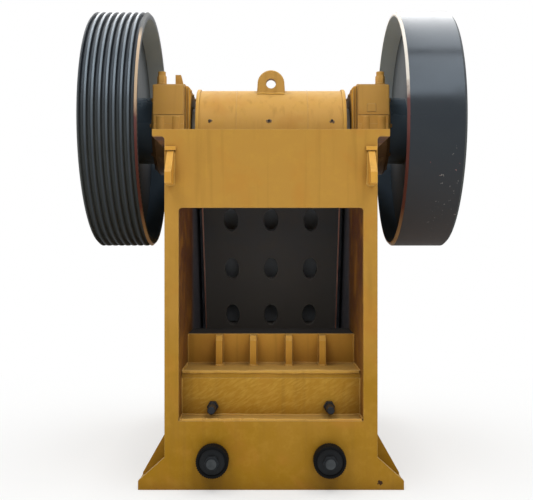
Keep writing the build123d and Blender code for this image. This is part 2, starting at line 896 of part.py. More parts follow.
def tooth_outline(half_width, back, crest):
    """Section of a toothed plate: flat back, and teeth with small lands at crest and root."""
    root = crest - tooth_depth
    slope = (tooth_pitch - 2 * tooth_land) / 2
    points = [(-half_width, back), (-half_width, root)]
    count = int(2 * half_width // tooth_pitch)
    start = -count * tooth_pitch / 2
    for i in range(count):
        x = start + i * tooth_pitch + tooth_land / 2
        points += [
            (x, root),
            (x + slope, crest),
            (x + slope + tooth_land, crest),
            (x + 2 * slope + tooth_land, root),
        ]
    return points + [(half_width, root), (half_width, back)]


def swing_jaw_plate():
    points = tooth_outline(jaw_width / 2, jaw_front_depth, plate_face_depth)
    plate = slab_xy(points, -plate_bottom_drop, -jaw_plate_drop)
    return jaw_slope * plate


def fixed_jaw_plate():
    half_width = half_chamber - plate_side_clearance
    points = tooth_outline(half_width, 0, jaw_plate_thickness)
    placed = [(x, front_inner - offset) for x, offset in points]
    return slab_xy(placed, fixed_plate_foot, fixed_plate_top)


def jaw_wedge():
    """Bar that clamps the top edge of the swing jaw plate."""
    top = jaw_plate_drop - jaw_wedge_height
    outline = [
        (jaw_front_depth, -jaw_plate_drop),
        (jaw_front_depth + jaw_wedge_thickness, -jaw_plate_drop),
        (jaw_front_depth + jaw_wedge_thickness / 2, -top),
        (jaw_front_depth, -top),
    ]
    return jaw_slope * slab_yz(outline, -jaw_width / 2, jaw_width / 2)


def cheek_plates():
    """Liners on both sides of the chamber, an upper and a lower one each."""
    front = fixed_face - cheek_clearance
    middle = (cheek_top + cheek_bottom) / 2
    spans = (
        (cheek_bottom, middle - cheek_joint / 2),
        (middle + cheek_joint / 2, cheek_top),
    )
    plates = []
    for z0, z1 in spans:
        outline = [
            (jaw_line_y(cheek_offset, z0), z0),
            (front, z0),
            (front, z1),
            (jaw_line_y(cheek_offset, z1), z1),
        ]
        plates.append(slab_yz(outline, half_chamber - cheek_thickness, half_chamber))
    return both_sides(group(plates))


def barrel_seals():
    x1 = barrel_length / 2
    bore = eccentric_radius + cover_shaft_clearance
    return both_sides(ring_x(seal_radius, bore, x1 - seal_thickness, x1, shaft_y, barrel_z))


def jaw_bearings():
    x0 = barrel_length / 2 - jaw_bearing_inset - jaw_bearing_width / 2
    bore = eccentric_radius + running_clearance
    return both_sides(ring_x(jaw_bearing_radius, bore, x0, x0 + jaw_bearing_width, shaft_y, barrel_z))


def lifting_eye():
    """Upright eye welded to the top of the barrel."""
    y0 = shaft_y - eye_face_offset
    y1 = y0 + eye_thickness
    centre_z = barrel_z + eye_height
    base_z = barrel_z + barrel_radius / 2
    half = eye_base_width / 2
    outline = [
        (-half, base_z),
        (half, base_z),
        (eye_outer_radius, centre_z),
        (-eye_outer_radius, centre_z),
    ]
    eye = slab_xz(outline, y0, y1) + rod_y(eye_outer_radius, y0, y1, 0, centre_z)
    eye = chamfer(eye.faces().filter_by(Axis.Y).edges(), eye_chamfer)
    eye -= rod_y(eye_hole_radius, y0 - overrun, y1 + overrun, 0, centre_z)
    return eye - rod_x(barrel_radius, -barrel_length / 2, barrel_length / 2, shaft_y, barrel_z)


# Toggle beam
def adjuster_holes():
    radius = adjuster_radius + adjuster_hole_clearance
    places = (-adjuster_x, adjuster_x)
    return [rod_y(radius, recess_face - overrun, block_back, x, adjuster_height) for x in places]


def with_adjuster_holes(plate):
    for hole in adjuster_holes():
        plate -= hole
    return plate


def beam_floor():
    return block(-half_chamber, half_chamber, rear_inner, beam_front, beam_floor_bottom, window_sill)


def recess_plate():
    top = shelf_top - beam_plate_thickness
    y1 = recess_face + beam_plate_thickness
    return with_adjuster_holes(block(-half_chamber, half_chamber, recess_face, y1, window_sill, top))


def beam_shelf():
    z0 = shelf_top - beam_plate_thickness
    return block(-half_chamber, half_chamber, recess_face, beam_back, z0, shelf_top)


def beam_back_plate():
    y1 = beam_back + beam_plate_thickness
    return with_adjuster_holes(block(-half_chamber, half_chamber, beam_back, y1, window_sill, beam_top))


def beam_top_plate():
    y0 = beam_back + beam_plate_thickness
    z0 = beam_top - beam_plate_thickness
    return block(-half_chamber, half_chamber, y0, beam_front, z0, beam_top)


def beam_abutment():
    y0 = abutment_face - abutment_thickness
    z1 = beam_top - beam_plate_thickness
    return with_adjuster_holes(block(-half_chamber, half_chamber, y0, abutment_face, window_sill, z1))


def beam_ribs():
    """Ribs that stand on the shelf behind the beam's back plate."""
    y0 = beam_back - beam_rib_depth
    outline = [
        (y0, shelf_top),
        (beam_back, shelf_top),
        (beam_back, beam_top),
        (y0 + beam_rib_chamfer, beam_top),
        (y0, beam_top - beam_rib_chamfer),
    ]
    ribs = []
    for share in beam_rib_centres_share:
        x = share * half_chamber
        ribs.append(slab_yz(outline, x - beam_rib_thickness / 2, x + beam_rib_thickness / 2))
    return group(ribs)


def toggle_block():
    top = beam_top - beam_plate_thickness - block_top_clearance
    outline = [
        (block_back, window_sill),
        (block_front, window_sill),
        (block_front, top - block_chamfer),
        (block_front - block_chamfer, top),
        (block_back, top),
    ]
    half = half_chamber - block_side_gap
    body = slab_yz(outline, -half, half)
    groove = toggle_end_radius + toggle_seat_clearance
    return body - rod_x(groove, -half_chamber, half_chamber, block_front, block_seat_z)


def shims():
    z0 = window_sill + shim_foot
    half = half_chamber - shim_side_gap
    middle = abutment_face + shim_thickness / 2
    pieces = [
        block(-half, half, abutment_face, middle, z0, z0 + shim_height),
        block(-half, half, middle, block_back, z0, z0 + shim_height),
    ]
    return pieces[0] + pieces[1]


def toggle_front_centre():
    """Centre of the toggle's front end, in the middle of the jaw seat's circular path."""
    y, z = jaw_point(-toggle_boss_offset, toggle_seat_drop)
    return y, z + eccentricity


def toggle_plate():
    y0, z0 = block_front, block_seat_z
    y1, z1 = toggle_front_centre()
    length = sqrt((y1 - y0) ** 2 + (z1 - z0) ** 2)
    along_y, along_z = (y1 - y0) / length, (z1 - z0) / length
    side_y, side_z = -along_z * toggle_thickness / 2, along_y * toggle_thickness / 2
    outline = [
        (y0 + side_y, z0 + side_z),
        (y1 + side_y, z1 + side_z),
        (y1 - side_y, z1 - side_z),
        (y0 - side_y, z0 - side_z),
    ]
    half = half_chamber - toggle_side_gap
    plate = slab_yz(outline, -half, half)
    for y, z in ((y0, z0), (y1, z1)):
        plate += rod_x(toggle_end_radius, -half, half, y, z)
    middle = ((y0 + y1) / 2, (z0 + z1) / 2)
    for i in range(toggle_hole_count):
        x = (i - (toggle_hole_count - 1) / 2) * toggle_hole_pitch
        plane = Plane((x, *middle), x_dir=(1, 0, 0), z_dir=(0, -along_z, along_y))
        hole = plane * Circle(toggle_hole_radius)
        plate -= extrude(hole, amount=toggle_thickness, both=True)
    return plate


def adjusting_bolts():
    bolts = []
    for x in (-adjuster_x, adjuster_x):
        bolt = rod_y(adjuster_radius, recess_face - adjuster_reach, block_back, x, adjuster_height)
        tip = bolt.edges().filter_by(GeomType.CIRCLE).sort_by(Axis.Y)[0]
        bolt = chamfer(tip, adjuster_chamfer)
        nut_start = recess_face - adjuster_nut_thickness
        bolts.append(bolt + nut_y(adjuster_nut_across, nut_start, recess_face, x, adjuster_height))
    return group(bolts)


# Tension rods
def tension_rods():
    cap_face = rear_face - cap_reach
    nut_start = cap_face - rod_nut_thickness
    eye_y = rod_eye_y()
    flat_y = eye_y - rod_flat_length
    eye_hole = rod_pin_radius + eccentricity + open_pivot_clearance
    half = rod_eye_thickness / 2
    z0, z1 = rod_height - rod_radius, rod_height + rod_radius
    rods = []
    for x in (-rod_x_place, rod_x_place):
        rod = rod_y(rod_radius, nut_start - rod_end_reach, flat_y + rod_radius, x, rod_height)
        rod += nut_y(rod_nut_across, nut_start, cap_face, x, rod_height)
        rod += block(x - half, x + half, flat_y, eye_y, z0, z1)
        rod += rod_x(rod_eye_radius, x - half, x + half, eye_y, rod_height)
        rods.append(rod - rod_x(eye_hole, x - half - overrun, x + half + overrun, eye_y, rod_height))
    return group(rods)


def spring_caps():
    """Cups over the springs, held by the rods' nuts."""
    caps = []
    y0 = rear_face - cap_reach
    for x in (-rod_x_place, rod_x_place):
        cup = rod_y(cap_radius, y0, rear_face - cap_gap, x, rod_height)
        rim = cup.edges().filter_by(GeomType.CIRCLE).sort_by(Axis.Y)[0]
        cup = chamfer(rim, cap_chamfer)
        cup -= rod_y(cap_radius - cap_wall, y0 + cap_end_thickness, rear_face, x, rod_height)
        cup -= rod_y(rod_radius + running_clearance, y0 - overrun, rear_face, x, rod_height)
        caps.append(cup)
    return group(caps)


def tension_springs():
    springs = []
    y0 = rear_face - cap_reach + cap_end_thickness
    for x in (-rod_x_place, rod_x_place):
        spring = rod_y(spring_outer_radius, y0, rear_face, x, rod_height)
        springs.append(spring - rod_y(spring_inner_radius, y0 - overrun, rear_face + overrun, x, rod_height))
    return group(springs)


pieces = {
    "side_wall_left": side_wall(-1),
    "side_wall_right": side_wall(1),
    "rear_plate": rear_plate(),
    "front_wall": front_wall(),
    "front_ribs": front_ribs(),
    "front_posts": front_posts(),
    "top_flanges": top_flanges(),
    "foot_rail_left": foot_rail(-1),
    "foot_rail_right": foot_rail(1),
    "foot_gussets": foot_gussets(),
    "side_ribs": side_ribs(),
    "side_posts": side_posts(),
    "rear_lugs": both_sides(rear_lug()),
    "bearing_seat_left": bearing_seat(-1),
    "bearing_seat_right": bearing_seat(1),
    "seat_gussets": seat_gussets(),
    "bearing_cap_left": bearing_cap(-1),
    "bearing_cap_right": bearing_cap(1),
    "inner_covers": inner_covers(),
    "outer_covers": outer_covers(),
    "main_bearings": main_bearings(),
    "beam_floor": beam_floor(),
    "recess_plate": recess_plate(),
    "beam_shelf": beam_shelf(),
    "beam_back_plate": beam_back_plate(),
    "beam_top_plate": beam_top_plate(),
    "beam_abutment": beam_abutment(),
    "beam_ribs": beam_ribs(),
    "toggle_block": toggle_block(),
    "shims": shims(),
    "toggle_plate": toggle_plate(),
    "adjusting_bolts": adjusting_bolts(),
    "tension_rods": tension_rods(),
    "spring_caps": spring_caps(),
    "tension_springs": tension_springs(),
    "fixed_jaw_plate": fixed_jaw_plate(),
    "cheek_plates": cheek_plates(),
    "eccentric_shaft": eccentric_shaft(),
    "belt_pulley": belt_pulley(),
    "flywheel": flywheel(),
    "wheel_lock_rings": wheel_lock_rings(),
    "swing_jaw": swing_jaw(),
    "swing_jaw_plate": swing_jaw_plate(),
    "jaw_wedge": jaw_wedge(),
    "barrel_seals": barrel_seals(),
    "jaw_bearings": jaw_bearings(),
    "lifting_eye": lifting_eye(),
}

os.makedirs("parts", exist_ok=True)
for name, piece in pieces.items():
    export_step(piece, f"parts/{name}.step")
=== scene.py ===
import bmesh
import bpy
import json
import math
import random
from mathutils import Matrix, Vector


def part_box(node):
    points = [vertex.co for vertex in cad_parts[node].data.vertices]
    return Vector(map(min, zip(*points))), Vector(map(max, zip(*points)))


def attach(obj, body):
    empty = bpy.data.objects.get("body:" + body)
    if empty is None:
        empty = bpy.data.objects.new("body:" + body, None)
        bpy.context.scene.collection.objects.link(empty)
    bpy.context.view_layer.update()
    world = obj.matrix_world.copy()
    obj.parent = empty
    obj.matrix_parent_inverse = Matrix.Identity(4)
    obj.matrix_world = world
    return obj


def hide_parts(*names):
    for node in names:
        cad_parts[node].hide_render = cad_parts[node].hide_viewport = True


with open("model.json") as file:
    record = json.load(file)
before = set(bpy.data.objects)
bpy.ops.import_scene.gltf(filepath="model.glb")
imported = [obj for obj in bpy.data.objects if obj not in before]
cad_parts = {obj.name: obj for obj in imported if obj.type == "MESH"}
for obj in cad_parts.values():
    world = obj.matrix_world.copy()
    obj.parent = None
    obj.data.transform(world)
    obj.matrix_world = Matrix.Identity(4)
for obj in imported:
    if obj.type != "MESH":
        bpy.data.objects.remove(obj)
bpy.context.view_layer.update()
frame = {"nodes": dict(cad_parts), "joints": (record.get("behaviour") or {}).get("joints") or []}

nodes = frame["nodes"]
joints = {joint["name"]: joint for joint in frame["joints"]}
shaft = Vector(joints["shaft_spin"]["pos_m"])
barrel = Vector(joints["jaw_swing"]["pos_m"])

# Studio. The machine stands on a pale floor that runs into a white background, under two long strip
# lamps that show as a bright sky in the wheels. The camera looks level from the machine's rear.
photo_width = 533
focal_pixels = 857
vanishing_x = 271
camera_height = 1.452
camera_to_shaft = 6.285

camera_data = bpy.data.cameras.new("photo_camera")
camera_data.sensor_width = 36.0
camera_data.lens = focal_pixels / photo_width * camera_data.sensor_width
camera_data.shift_x = (photo_width / 2 - vanishing_x) / photo_width
camera_data.clip_end = 100.0
camera = bpy.data.objects.new("photo_camera", camera_data)
camera.location = (0, shaft.y - camera_to_shaft, camera_height)
camera.rotation_euler = (math.radians(90), 0, 0)
bpy.context.scene.collection.objects.link(camera)
bpy.context.scene.camera = camera
bpy.context.scene.view_settings.view_transform = "Standard"


def linear(colour):
    """Linear colour from an sRGB hex value such as "B8913C"."""
    parts = [int(colour[i:i + 2], 16) / 255 for i in (0, 2, 4)]
    return [p / 12.92 if p <= 0.04045 else ((p + 0.055) / 1.055) ** 2.4 for p in parts] + [1.0]


def add(owner, kind, inputs=None, **settings):
    """Adds a shader node with its settings, and links or sets its inputs; text is a hex colour."""
    node = owner.node_tree.nodes.new(kind)
    for name, value in settings.items():
        setattr(node, name, value)
    for name, value in (inputs or {}).items():
        if isinstance(value, bpy.types.NodeSocket):
            owner.node_tree.links.new(value, node.inputs[name])
        else:
            node.inputs[name].default_value = linear(value) if isinstance(value, str) else value
    return node


def seen_by_camera(owner):
    """1 for what the camera sees, straight or mirrored, and 0 for light that falls on the machine."""
    rays = add(owner, "ShaderNodeLightPath").outputs
    seen = rays["Is Camera Ray"]
    for kind in ("Is Glossy Ray", "Is Transmission Ray"):
        seen = add(owner, "ShaderNodeMath", {0: seen, 1: rays[kind]}, operation="MAXIMUM").outputs[0]
    return seen


world = bpy.data.worlds.new("studio_world")
world.use_nodes = True
world.node_tree.nodes.clear()
bpy.context.scene.world = world
sky_strength = 0.36
plain_sky = add(world, "ShaderNodeBackground", {"Color": "F2F5F8", "Strength": sky_strength})
white_sky = add(world, "ShaderNodeBackground", {"Color": "FFFFFF", "Strength": 1.0})
sky = add(world, "ShaderNodeMixShader", {
    0: seen_by_camera(world), 1: plain_sky.outputs[0], 2: white_sky.outputs[0]})
add(world, "ShaderNodeOutputWorld", {"Surface": sky.outputs[0]})


def soft_lamp(name, place, target, size, watts, mirrored):
    """A rectangular lamp that the camera doesn't see, turned from its place to its target."""
    lamp_data = bpy.data.lights.new(name, "AREA")
    lamp_data.shape = "RECTANGLE"
    lamp_data.size, lamp_data.size_y = size
    lamp_data.energy = watts
    lamp = bpy.data.objects.new(name, lamp_data)
    lamp.location = place
    aim = Vector(target) - Vector(place)
    lamp.rotation_euler = aim.to_track_quat("-Z", "Y").to_euler()
    lamp.visible_camera = False
    lamp.visible_glossy = mirrored
    bpy.context.scene.collection.objects.link(lamp)


strip_width = 2.7
strip_offset = 2.85
strip_height = 7.6
for side in (-1, 1):
    for name, middle, length, watts in (("rear", -7.05, 8.70, 280), ("front", 3.05, 10.30, 331)):
        soft_lamp(f"strip_{name}_{side}", (side * strip_offset, middle, strip_height),
                  (side * strip_offset, middle, 0), (strip_width, length), watts, True)
soft_lamp("rear_lamp", (0, -11.0, 3.6), (0, 0, 1.4), (7.0, 4.0), 60, False)

floor_size = 60.0
floor_mesh = bpy.data.meshes.new("studio_floor")
half_floor = floor_size / 2
floor_corners = [(x * half_floor, y * half_floor, 0) for x, y in ((-1, -1), (1, -1), (1, 1), (-1, 1))]
floor_mesh.from_pydata(floor_corners, [], [(0, 1, 2, 3)])
studio_floor = bpy.data.objects.new("studio_floor", floor_mesh)
bpy.context.scene.collection.objects.link(studio_floor)
floor_paint = bpy.data.materials.new("pale_floor")
floor_paint.use_nodes = True
floor_paint.node_tree.nodes.clear()
floor_place = add(floor_paint, "ShaderNodeNewGeometry").outputs["Position"]
floor_reach = add(floor_paint, "ShaderNodeVectorMath", {
    0: floor_place}, operation="LENGTH").outputs["Value"]
shadow_reach, white_reach = 1.4, 4.6
white_share = add(floor_paint, "ShaderNodeMapRange", {
    "Value": floor_reach, "From Min": shadow_reach, "From Max": white_reach, "To Min": 0.5}).outputs[0]
white_share = add(floor_paint, "ShaderNodeMath", {
    0: white_share, 1: seen_by_camera(floor_paint)}, operation="MULTIPLY").outputs[0]
floor_matt = add(floor_paint, "ShaderNodeBsdfDiffuse", {"Color": "F4F4F2"})
floor_white = add(floor_paint, "ShaderNodeEmission", {"Color": "FFFFFF", "Strength": 1.0})
floor_mix = add(floor_paint, "ShaderNodeMixShader", {
    0: white_share, 1: floor_matt.outputs[0], 2: floor_white.outputs[0]})
add(floor_paint, "ShaderNodeOutputMaterial", {"Surface": floor_mix.outputs[0]})
floor_mesh.materials.append(floor_paint)


# Main frame. Rolled steel plates, flame-cut and welded into a box, blasted, primed and sprayed with
# yellow machine enamel, which is satin and drifts in tone, goes brown near the ground, is painted
# darker towards the bottom and in corners as painted shade, and paler along its edges as wear and a
# painted highlight.
def new_material(name, roughness, metallic=0.0):
    """An empty node material, and its Principled shader joined to the output."""
    material = bpy.data.materials.new(name)
    material.use_nodes = True
    material.node_tree.nodes.clear()
    shader = add(material, "ShaderNodeBsdfPrincipled", {"Roughness": roughness, "Metallic": metallic})
    add(material, "ShaderNodeOutputMaterial", {"Surface": shader.outputs[0]})
    return material, shader


def paint(material, shader, tone, layers):
    """Paints a shader with a tone and layers over it. Each has a value, where that starts and fills
    the layer, its greatest share, its colour, and perhaps a second value that breaks it up."""
    for value, start, full, most, colour, *broken_by in layers:
        share = add(material, "ShaderNodeMapRange", {
            "Value": value, "From Min": start, "From Max": full, "To Max": most}).outputs[0]
        for other in broken_by:
            share = add(material, "ShaderNodeMath", {0: share, 1: other}, operation="MULTIPLY").outputs[0]
        tone = add(material, "ShaderNodeMix", {
            "Factor": share, 6: tone, 7: colour}, data_type="RGBA").outputs[2]
    material.node_tree.links.new(tone, shader.inputs["Base Color"])


def press_grain(material, shader, place, rounded, grain_mm, depth_mm, strength, detail, roughness):
    """Gives the surface a grain of one width and depth as relief, over edges that look rounded."""
    grain = add(material, "ShaderNodeTexNoise", {
        "Vector": place, "Scale": 1000 / grain_mm, "Detail": detail, "Roughness": roughness}).outputs[0]
    bump = add(material, "ShaderNodeBump", {
        "Height": grain, "Strength": strength, "Distance": depth_mm / 1000, "Normal": rounded})
    material.node_tree.links.new(bump.outputs[0], shader.inputs["Normal"])


def machine_enamel(name, upper_colour, low, grain_mm, grain_depth_mm, strokes=0.0, painted_shade_below=None,
                   bluish_beyond=None, chipped_at=None):
    """Satin enamel on steel: its grain, its share of brush strokes, the height below which it has painted
    shade, how far in it turns bluish grey, and where a chip has come off."""
    material, shader = new_material(name, 0.5)
    shader.inputs["Specular IOR Level"].default_value = 0.2
    place = add(material, "ShaderNodeTexCoord").outputs["Object"]
    spot = add(material, "ShaderNodeSeparateXYZ", {0: place}).outputs
    facing = add(material, "ShaderNodeNewGeometry").outputs["Normal"]
    rounded = add(material, "ShaderNodeBevel", {"Radius": 0.005}, samples=4).outputs[0]

    # Drifts half a metre wide, and a painted shade by height: the tone goes from the upper colour to the
    # low colour towards the bottom
    drift = add(material, "ShaderNodeTexNoise", {
        "Vector": place, "Scale": 1 / 0.5, "Detail": 5.0, "Roughness": 0.6}).outputs[0]
    painted_shade_by_height = add(material, "ShaderNodeMapRange", {
        "Value": spot["Z"], "From Min": 0.2, "From Max": 1.7, "To Min": -0.66, "To Max": 0.42}).outputs[0]
    share = add(material, "ShaderNodeMath", {
        0: drift, 1: 1.4, 2: painted_shade_by_height}, operation="MULTIPLY_ADD").outputs[0]
    tone = add(material, "ShaderNodeMix", {
        "Factor": share, 6: low, 7: upper_colour}, data_type="RGBA").outputs[2]

    # Warmer patches where the second coat is thin, paler mottling a hand wide, and rain streaks a
    # few centimetres wide and long down the plate
    thin = add(material, "ShaderNodeTexNoise", {
        "Vector": place, "Scale": 1 / 0.28, "Detail": 3.0, "Distortion": 0.6}).outputs[0]
    mottle = add(material, "ShaderNodeTexNoise", {
        "Vector": place, "Scale": 1 / 0.07, "Detail": 6.0, "Roughness": 0.7}).outputs[0]
    drawn_out = add(material, "ShaderNodeMapping", {"Vector": place, "Scale": (1, 1, 0.05)}).outputs[0]
    streak = add(material, "ShaderNodeTexNoise", {
        "Vector": drawn_out, "Scale": 1 / 0.04, "Detail": 4.0}).outputs[0]
    layers = [(thin, 0.52, 0.72, 0.5, "B97C2C"), (mottle, 0.48, 0.75, 0.3, "C79A3C"),
              (streak, 0.54, 0.74, 0.26, "86611F")]
    if strokes:
        swept = add(material, "ShaderNodeMapping", {
            "Vector": place, "Rotation": (0, math.radians(-32), 0), "Scale": (1, 1, 0.22)},
            vector_type="TEXTURE").outputs[0]
        stroke = add(material, "ShaderNodeTexNoise", {
            "Vector": swept, "Scale": 1 / 0.06, "Detail": 5.0, "Distortion": 0.5}).outputs[0]
        layers.append((stroke, 0.46, 0.66, strokes, "D8B050"))

    # Brown dirt and painted shade in corners, dirt splashed near the ground, edges painted paler as rubbed
    # paint and a painted highlight, and dust on what faces up
    openness_for_painted_corner_shade = add(material, "ShaderNodeAmbientOcclusion", {"Distance": 0.16}, samples=6).outputs["AO"]
    # Edges painted paler: rubbed paint and a painted highlight
    edge_mask_for_wear_and_highlight = add(material, "ShaderNodeVectorMath", {
        0: rounded, 1: facing}, operation="DOT_PRODUCT").outputs["Value"]
    up = add(material, "ShaderNodeSeparateXYZ", {0: facing}).outputs["Z"]
    layers += [(openness_for_painted_corner_shade, 0.75, 0.2, 0.68, "5C3A0E"), (spot["Z"], 0.24, 0.0, 0.2, "6A4C0C", mottle),
               (edge_mask_for_wear_and_highlight, 0.99, 0.88, 0.6, "EBD29A", mottle), (up, 0.6, 1.0, 0.35, "C4A66C")]
    # Painted shade: dark brown below a given height
    if painted_shade_below is not None:
        layers.append((spot["Z"], painted_shade_below, painted_shade_below - 0.03, 0.86, "3E281C"))
    # Bluish grey deeper in than a given point along the machine
    if bluish_beyond is not None:
        layers.append((spot["Y"], bluish_beyond - 0.1, bluish_beyond + 0.1, 0.9, "5A606A"))
    if chipped_at is not None:
        reach = add(material, "ShaderNodeVectorMath", {
            0: place, 1: chipped_at}, operation="DISTANCE").outputs["Value"]
        ragged = add(material, "ShaderNodeTexNoise", {"Vector": place, "Scale": 1 / 0.012}).outputs[0]
        chip = add(material, "ShaderNodeMath", {
            0: ragged, 1: 0.03, 2: reach}, operation="MULTIPLY_ADD").outputs[0]
        layers.append((chip, 0.031, 0.028, 0.95, "2A120A"))
    paint(material, shader, tone, layers)

    # Satin gloss that varies, and the grain of the steel under the paint
    gloss = add(material, "ShaderNodeMapRange", {
        "Value": mottle, "From Min": 0.3, "From Max": 0.7, "To Min": 0.42, "To Max": 0.64}).outputs[0]
    material.node_tree.links.new(gloss, shader.inputs["Roughness"])
    press_grain(material, shader, place, rounded, grain_mm, grain_depth_mm, 0.6, 3.0, 0.6)
    return material


def dress(material, *names):
    """Gives solids of the machine one finish all over."""
    for name in names:
        mesh = nodes[name].data
        mesh.materials.clear()
        mesh.materials.append(material)


# The peel of sprayed enamel is 3 mm across, and is drawn at 9 mm so that it shows
plate_enamel = machine_enamel("sprayed_plate_enamel", "B78838", "9F7306", grain_mm=9, grain_depth_mm=0.35,
                              chipped_at=(0.659, -1.2057, 0.045))
dress(plate_enamel, "rear_plate", "front_wall", "front_ribs", "front_posts", "foot_rail_left",
      "foot_rail_right", "foot_gussets", "side_ribs", "side_posts", "beam_floor", "beam_shelf")

# The lugs and the beam's back plate and ribs take a paler enamel, painted light on faces that catch it
paler_enamel_as_painted_light = machine_enamel("paler_enamel_painted_lit", "D8A040", "C08C30", grain_mm=9, grain_depth_mm=0.35)
dress(paler_enamel_as_painted_light, "rear_lugs", "beam_back_plate", "beam_ribs")


def finish_faces(name, materials, choose):
    """Gives each face of a solid the finish that its place on the piece calls for."""
    mesh = nodes[name].data
    mesh.materials.clear()
    for material in materials:
        mesh.materials.append(material)
    for face in mesh.polygons:
        face.material_index = choose(face)


# Inside the box and under its flanges: thin enamel on brown primer, painted darker as shade, and darker
# higher up
inside_enamel_with_painted_shade = machine_enamel("brown_primer_with_painted_shade", "5E3624", "8A5C22", grain_mm=9,
                               grain_depth_mm=0.4, bluish_beyond=-0.25)
for wall in ("side_wall_left", "side_wall_right"):
    finish_faces(wall, [plate_enamel, inside_enamel_with_painted_shade],
                 lambda face: int(face.normal.x * face.center.x < -0.2))
finish_faces("top_flanges", [plate_enamel, inside_enamel_with_painted_shade], lambda face: int(face.normal.z < -0.5))


# Weld beads. Fillets of electric-arc weld along the joints of the plates, laid by hand in short
# ripples and painted over with enamel in a paler tone, a painted highlight, so they wander a little and
# catch the light.
corner_angle = math.radians(35)
# Ripples of a hand-laid weld are about 4 mm apart, and are drawn at 16 mm so that they show
ripple_pitch = 0.016
bead_sides = 6
weld_hand = random.Random(7)


def weld_bead(shape, start, end, out, leg=0.013, wander=1.0):
    """Lays one rippled bead along a joint; out points away from both plates."""
    start, end = Vector(start), Vector(end)
    run = end - start
    along = run.normalized()
    out = Vector(out).normalized()
    across = along.cross(out)
    rings = max(4, round(run.length / (ripple_pitch / 2)))
    phase = weld_hand.uniform(0, 6)
    loops = []
    for i in range(rings + 1):
        s = run.length * i / rings
        sway = wander * (0.14 * math.sin(s / 0.045 + phase) + 0.1 * math.sin(s / 0.017 + 2 * phase))
        swell = 0.64 + (0.05 if i % 2 else -0.05) + 0.12 * math.sin(s / 0.16 + 3 * phase)
        swell += weld_hand.uniform(-0.04, 0.04)
        if i in (0, rings):
            swell *= 0.6
        centre = start + along * s + across * (leg * sway)
        loop = []
        for j in range(bead_sides):
            turn = 2 * math.pi * j / bead_sides
            lag = 0.2 * ripple_pitch * math.cos(turn)
            spread = out * math.cos(turn) + across * math.sin(turn)
            loop.append(shape.verts.new(centre + spread * (leg * swell) - along * lag))
        loops.append(loop)
    for low, high in zip(loops, loops[1:]):
        for j in range(bead_sides):
            k = (j + 1) % bead_sides
            shape.faces.new((low[j], low[k], high[k], high[j]))
    shape.faces.new(loops[0][::-1])
    shape.faces.new(loops[-1])


def make_piece(shape, name, body, slot, *materials):
    """Turns a bmesh into a named piece on a body, shaded smooth except at its corners."""
    bmesh.ops.recalc_face_normals(shape, faces=shape.faces)
    mesh = bpy.data.meshes.new(name)
    shape.to_mesh(mesh)
    shape.free()
    for material in materials:
        mesh.materials.append(material)
    mesh.polygons.foreach_set("use_smooth", [True] * len(mesh.polygons))
    mesh.set_sharp_from_angle(angle=corner_angle)
    piece = bpy.data.objects.new(name, mesh)
    bpy.context.scene.collection.objects.link(piece)
    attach(piece, body)
    return piece


# A paler tone of the enamel, a painted highlight on beads, bolts and rings
paler_enamel_as_painted_highlight = machine_enamel("paler_enamel_for_painted_highlight", "D0A048", "C0903A", grain_mm=5, grain_depth_mm=0.5)
rear_thickness = 0.040
rear_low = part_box("rear_plate")[0]
rear_inner = rear_low[1] + rear_thickness
wall_low, wall_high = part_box("side_wall_right")
front_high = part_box("front_wall")[1]
recess_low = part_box("recess_plate")[0]
shelf_low, shelf_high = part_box("beam_shelf")
back_low, back_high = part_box("beam_back_plate")
rib_low, rib_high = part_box("beam_ribs")
sill = recess_low[2]
inner_wall, outer_wall = wall_low[0], wall_high[0]

# In the window: along the sill and the toggle beam, up both walls, and round the beam's four ribs
shape = bmesh.new()
for y, z, out, leg, wander in (
        (rear_low[1] + 0.022, sill - 0.004, (0, -0.6, 1), 0.026, 0.5),
        (shelf_low[1], shelf_high[2] - 0.002, (0, -1, 0.6), 0.019, 0.4),
        (recess_low[1], sill, (0, -1, 1), 0.013, 1.0),
        (back_low[1], shelf_high[2], (0, -1, 1), 0.013, 1.0)):
    weld_bead(shape, (-inner_wall, y, z), (inner_wall, y, z), out, leg, wander)
for side in (-1, 1):
    x = side * inner_wall
    for y0, z0, y1, z1, out in (
            (recess_low[1], sill, recess_low[1], shelf_low[2], (-side, -1, 0)),
            (shelf_low[1], shelf_high[2], back_low[1], shelf_high[2], (-side, 0, 1)),
            (back_low[1], shelf_high[2], back_low[1], back_high[2], (-side, -1, 0)),
            (rear_inner, sill, recess_low[1], sill, (-side, 0, 1))):
        weld_bead(shape, (x, y0, z0), (x, y1, z1), out, 0.015)
rib_half = 0.021
inner_rib = 0.1182
rib_centres = (rib_low[0] + rib_half, -inner_rib, inner_rib, rib_high[0] - rib_half)
for centre in rib_centres:
    for side in (-1, 1):
        x = centre + side * rib_half
        foot = (x, back_low[1], shelf_high[2])
        weld_bead(shape, foot, (x, back_low[1], back_high[2] - 0.01), (side, -1, 0))
        weld_bead(shape, foot, (x, rib_low[1], shelf_high[2]), (side, 0, 1))
    weld_bead(shape, (centre - rib_half, rib_low[1], shelf_high[2]),
              (centre + rib_half, rib_low[1], shelf_high[2]), (0, -1, 1), 0.016)
# Down both sides of the lugs and across their lower ends
lug_low, lug_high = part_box("rear_lugs")
lug_half = 0.020
lug_centre = 0.607
for side in (-1, 1):
    for edge in (-lug_half, lug_half):
        x = side * lug_centre + edge
        weld_bead(shape, (x, rear_low[1], lug_low[2]), (x, rear_low[1], lug_high[2] - 0.03),
                  (edge, -lug_half, 0))
    weld_bead(shape, (side * lug_centre - lug_half, rear_low[1], lug_low[2]),
              (side * lug_centre + lug_half, rear_low[1], lug_low[2]), (0, -1, -1))
make_piece(shape, "rear_weld_beads", "frame", "yellow_paint", paler_enamel_as_painted_highlight)

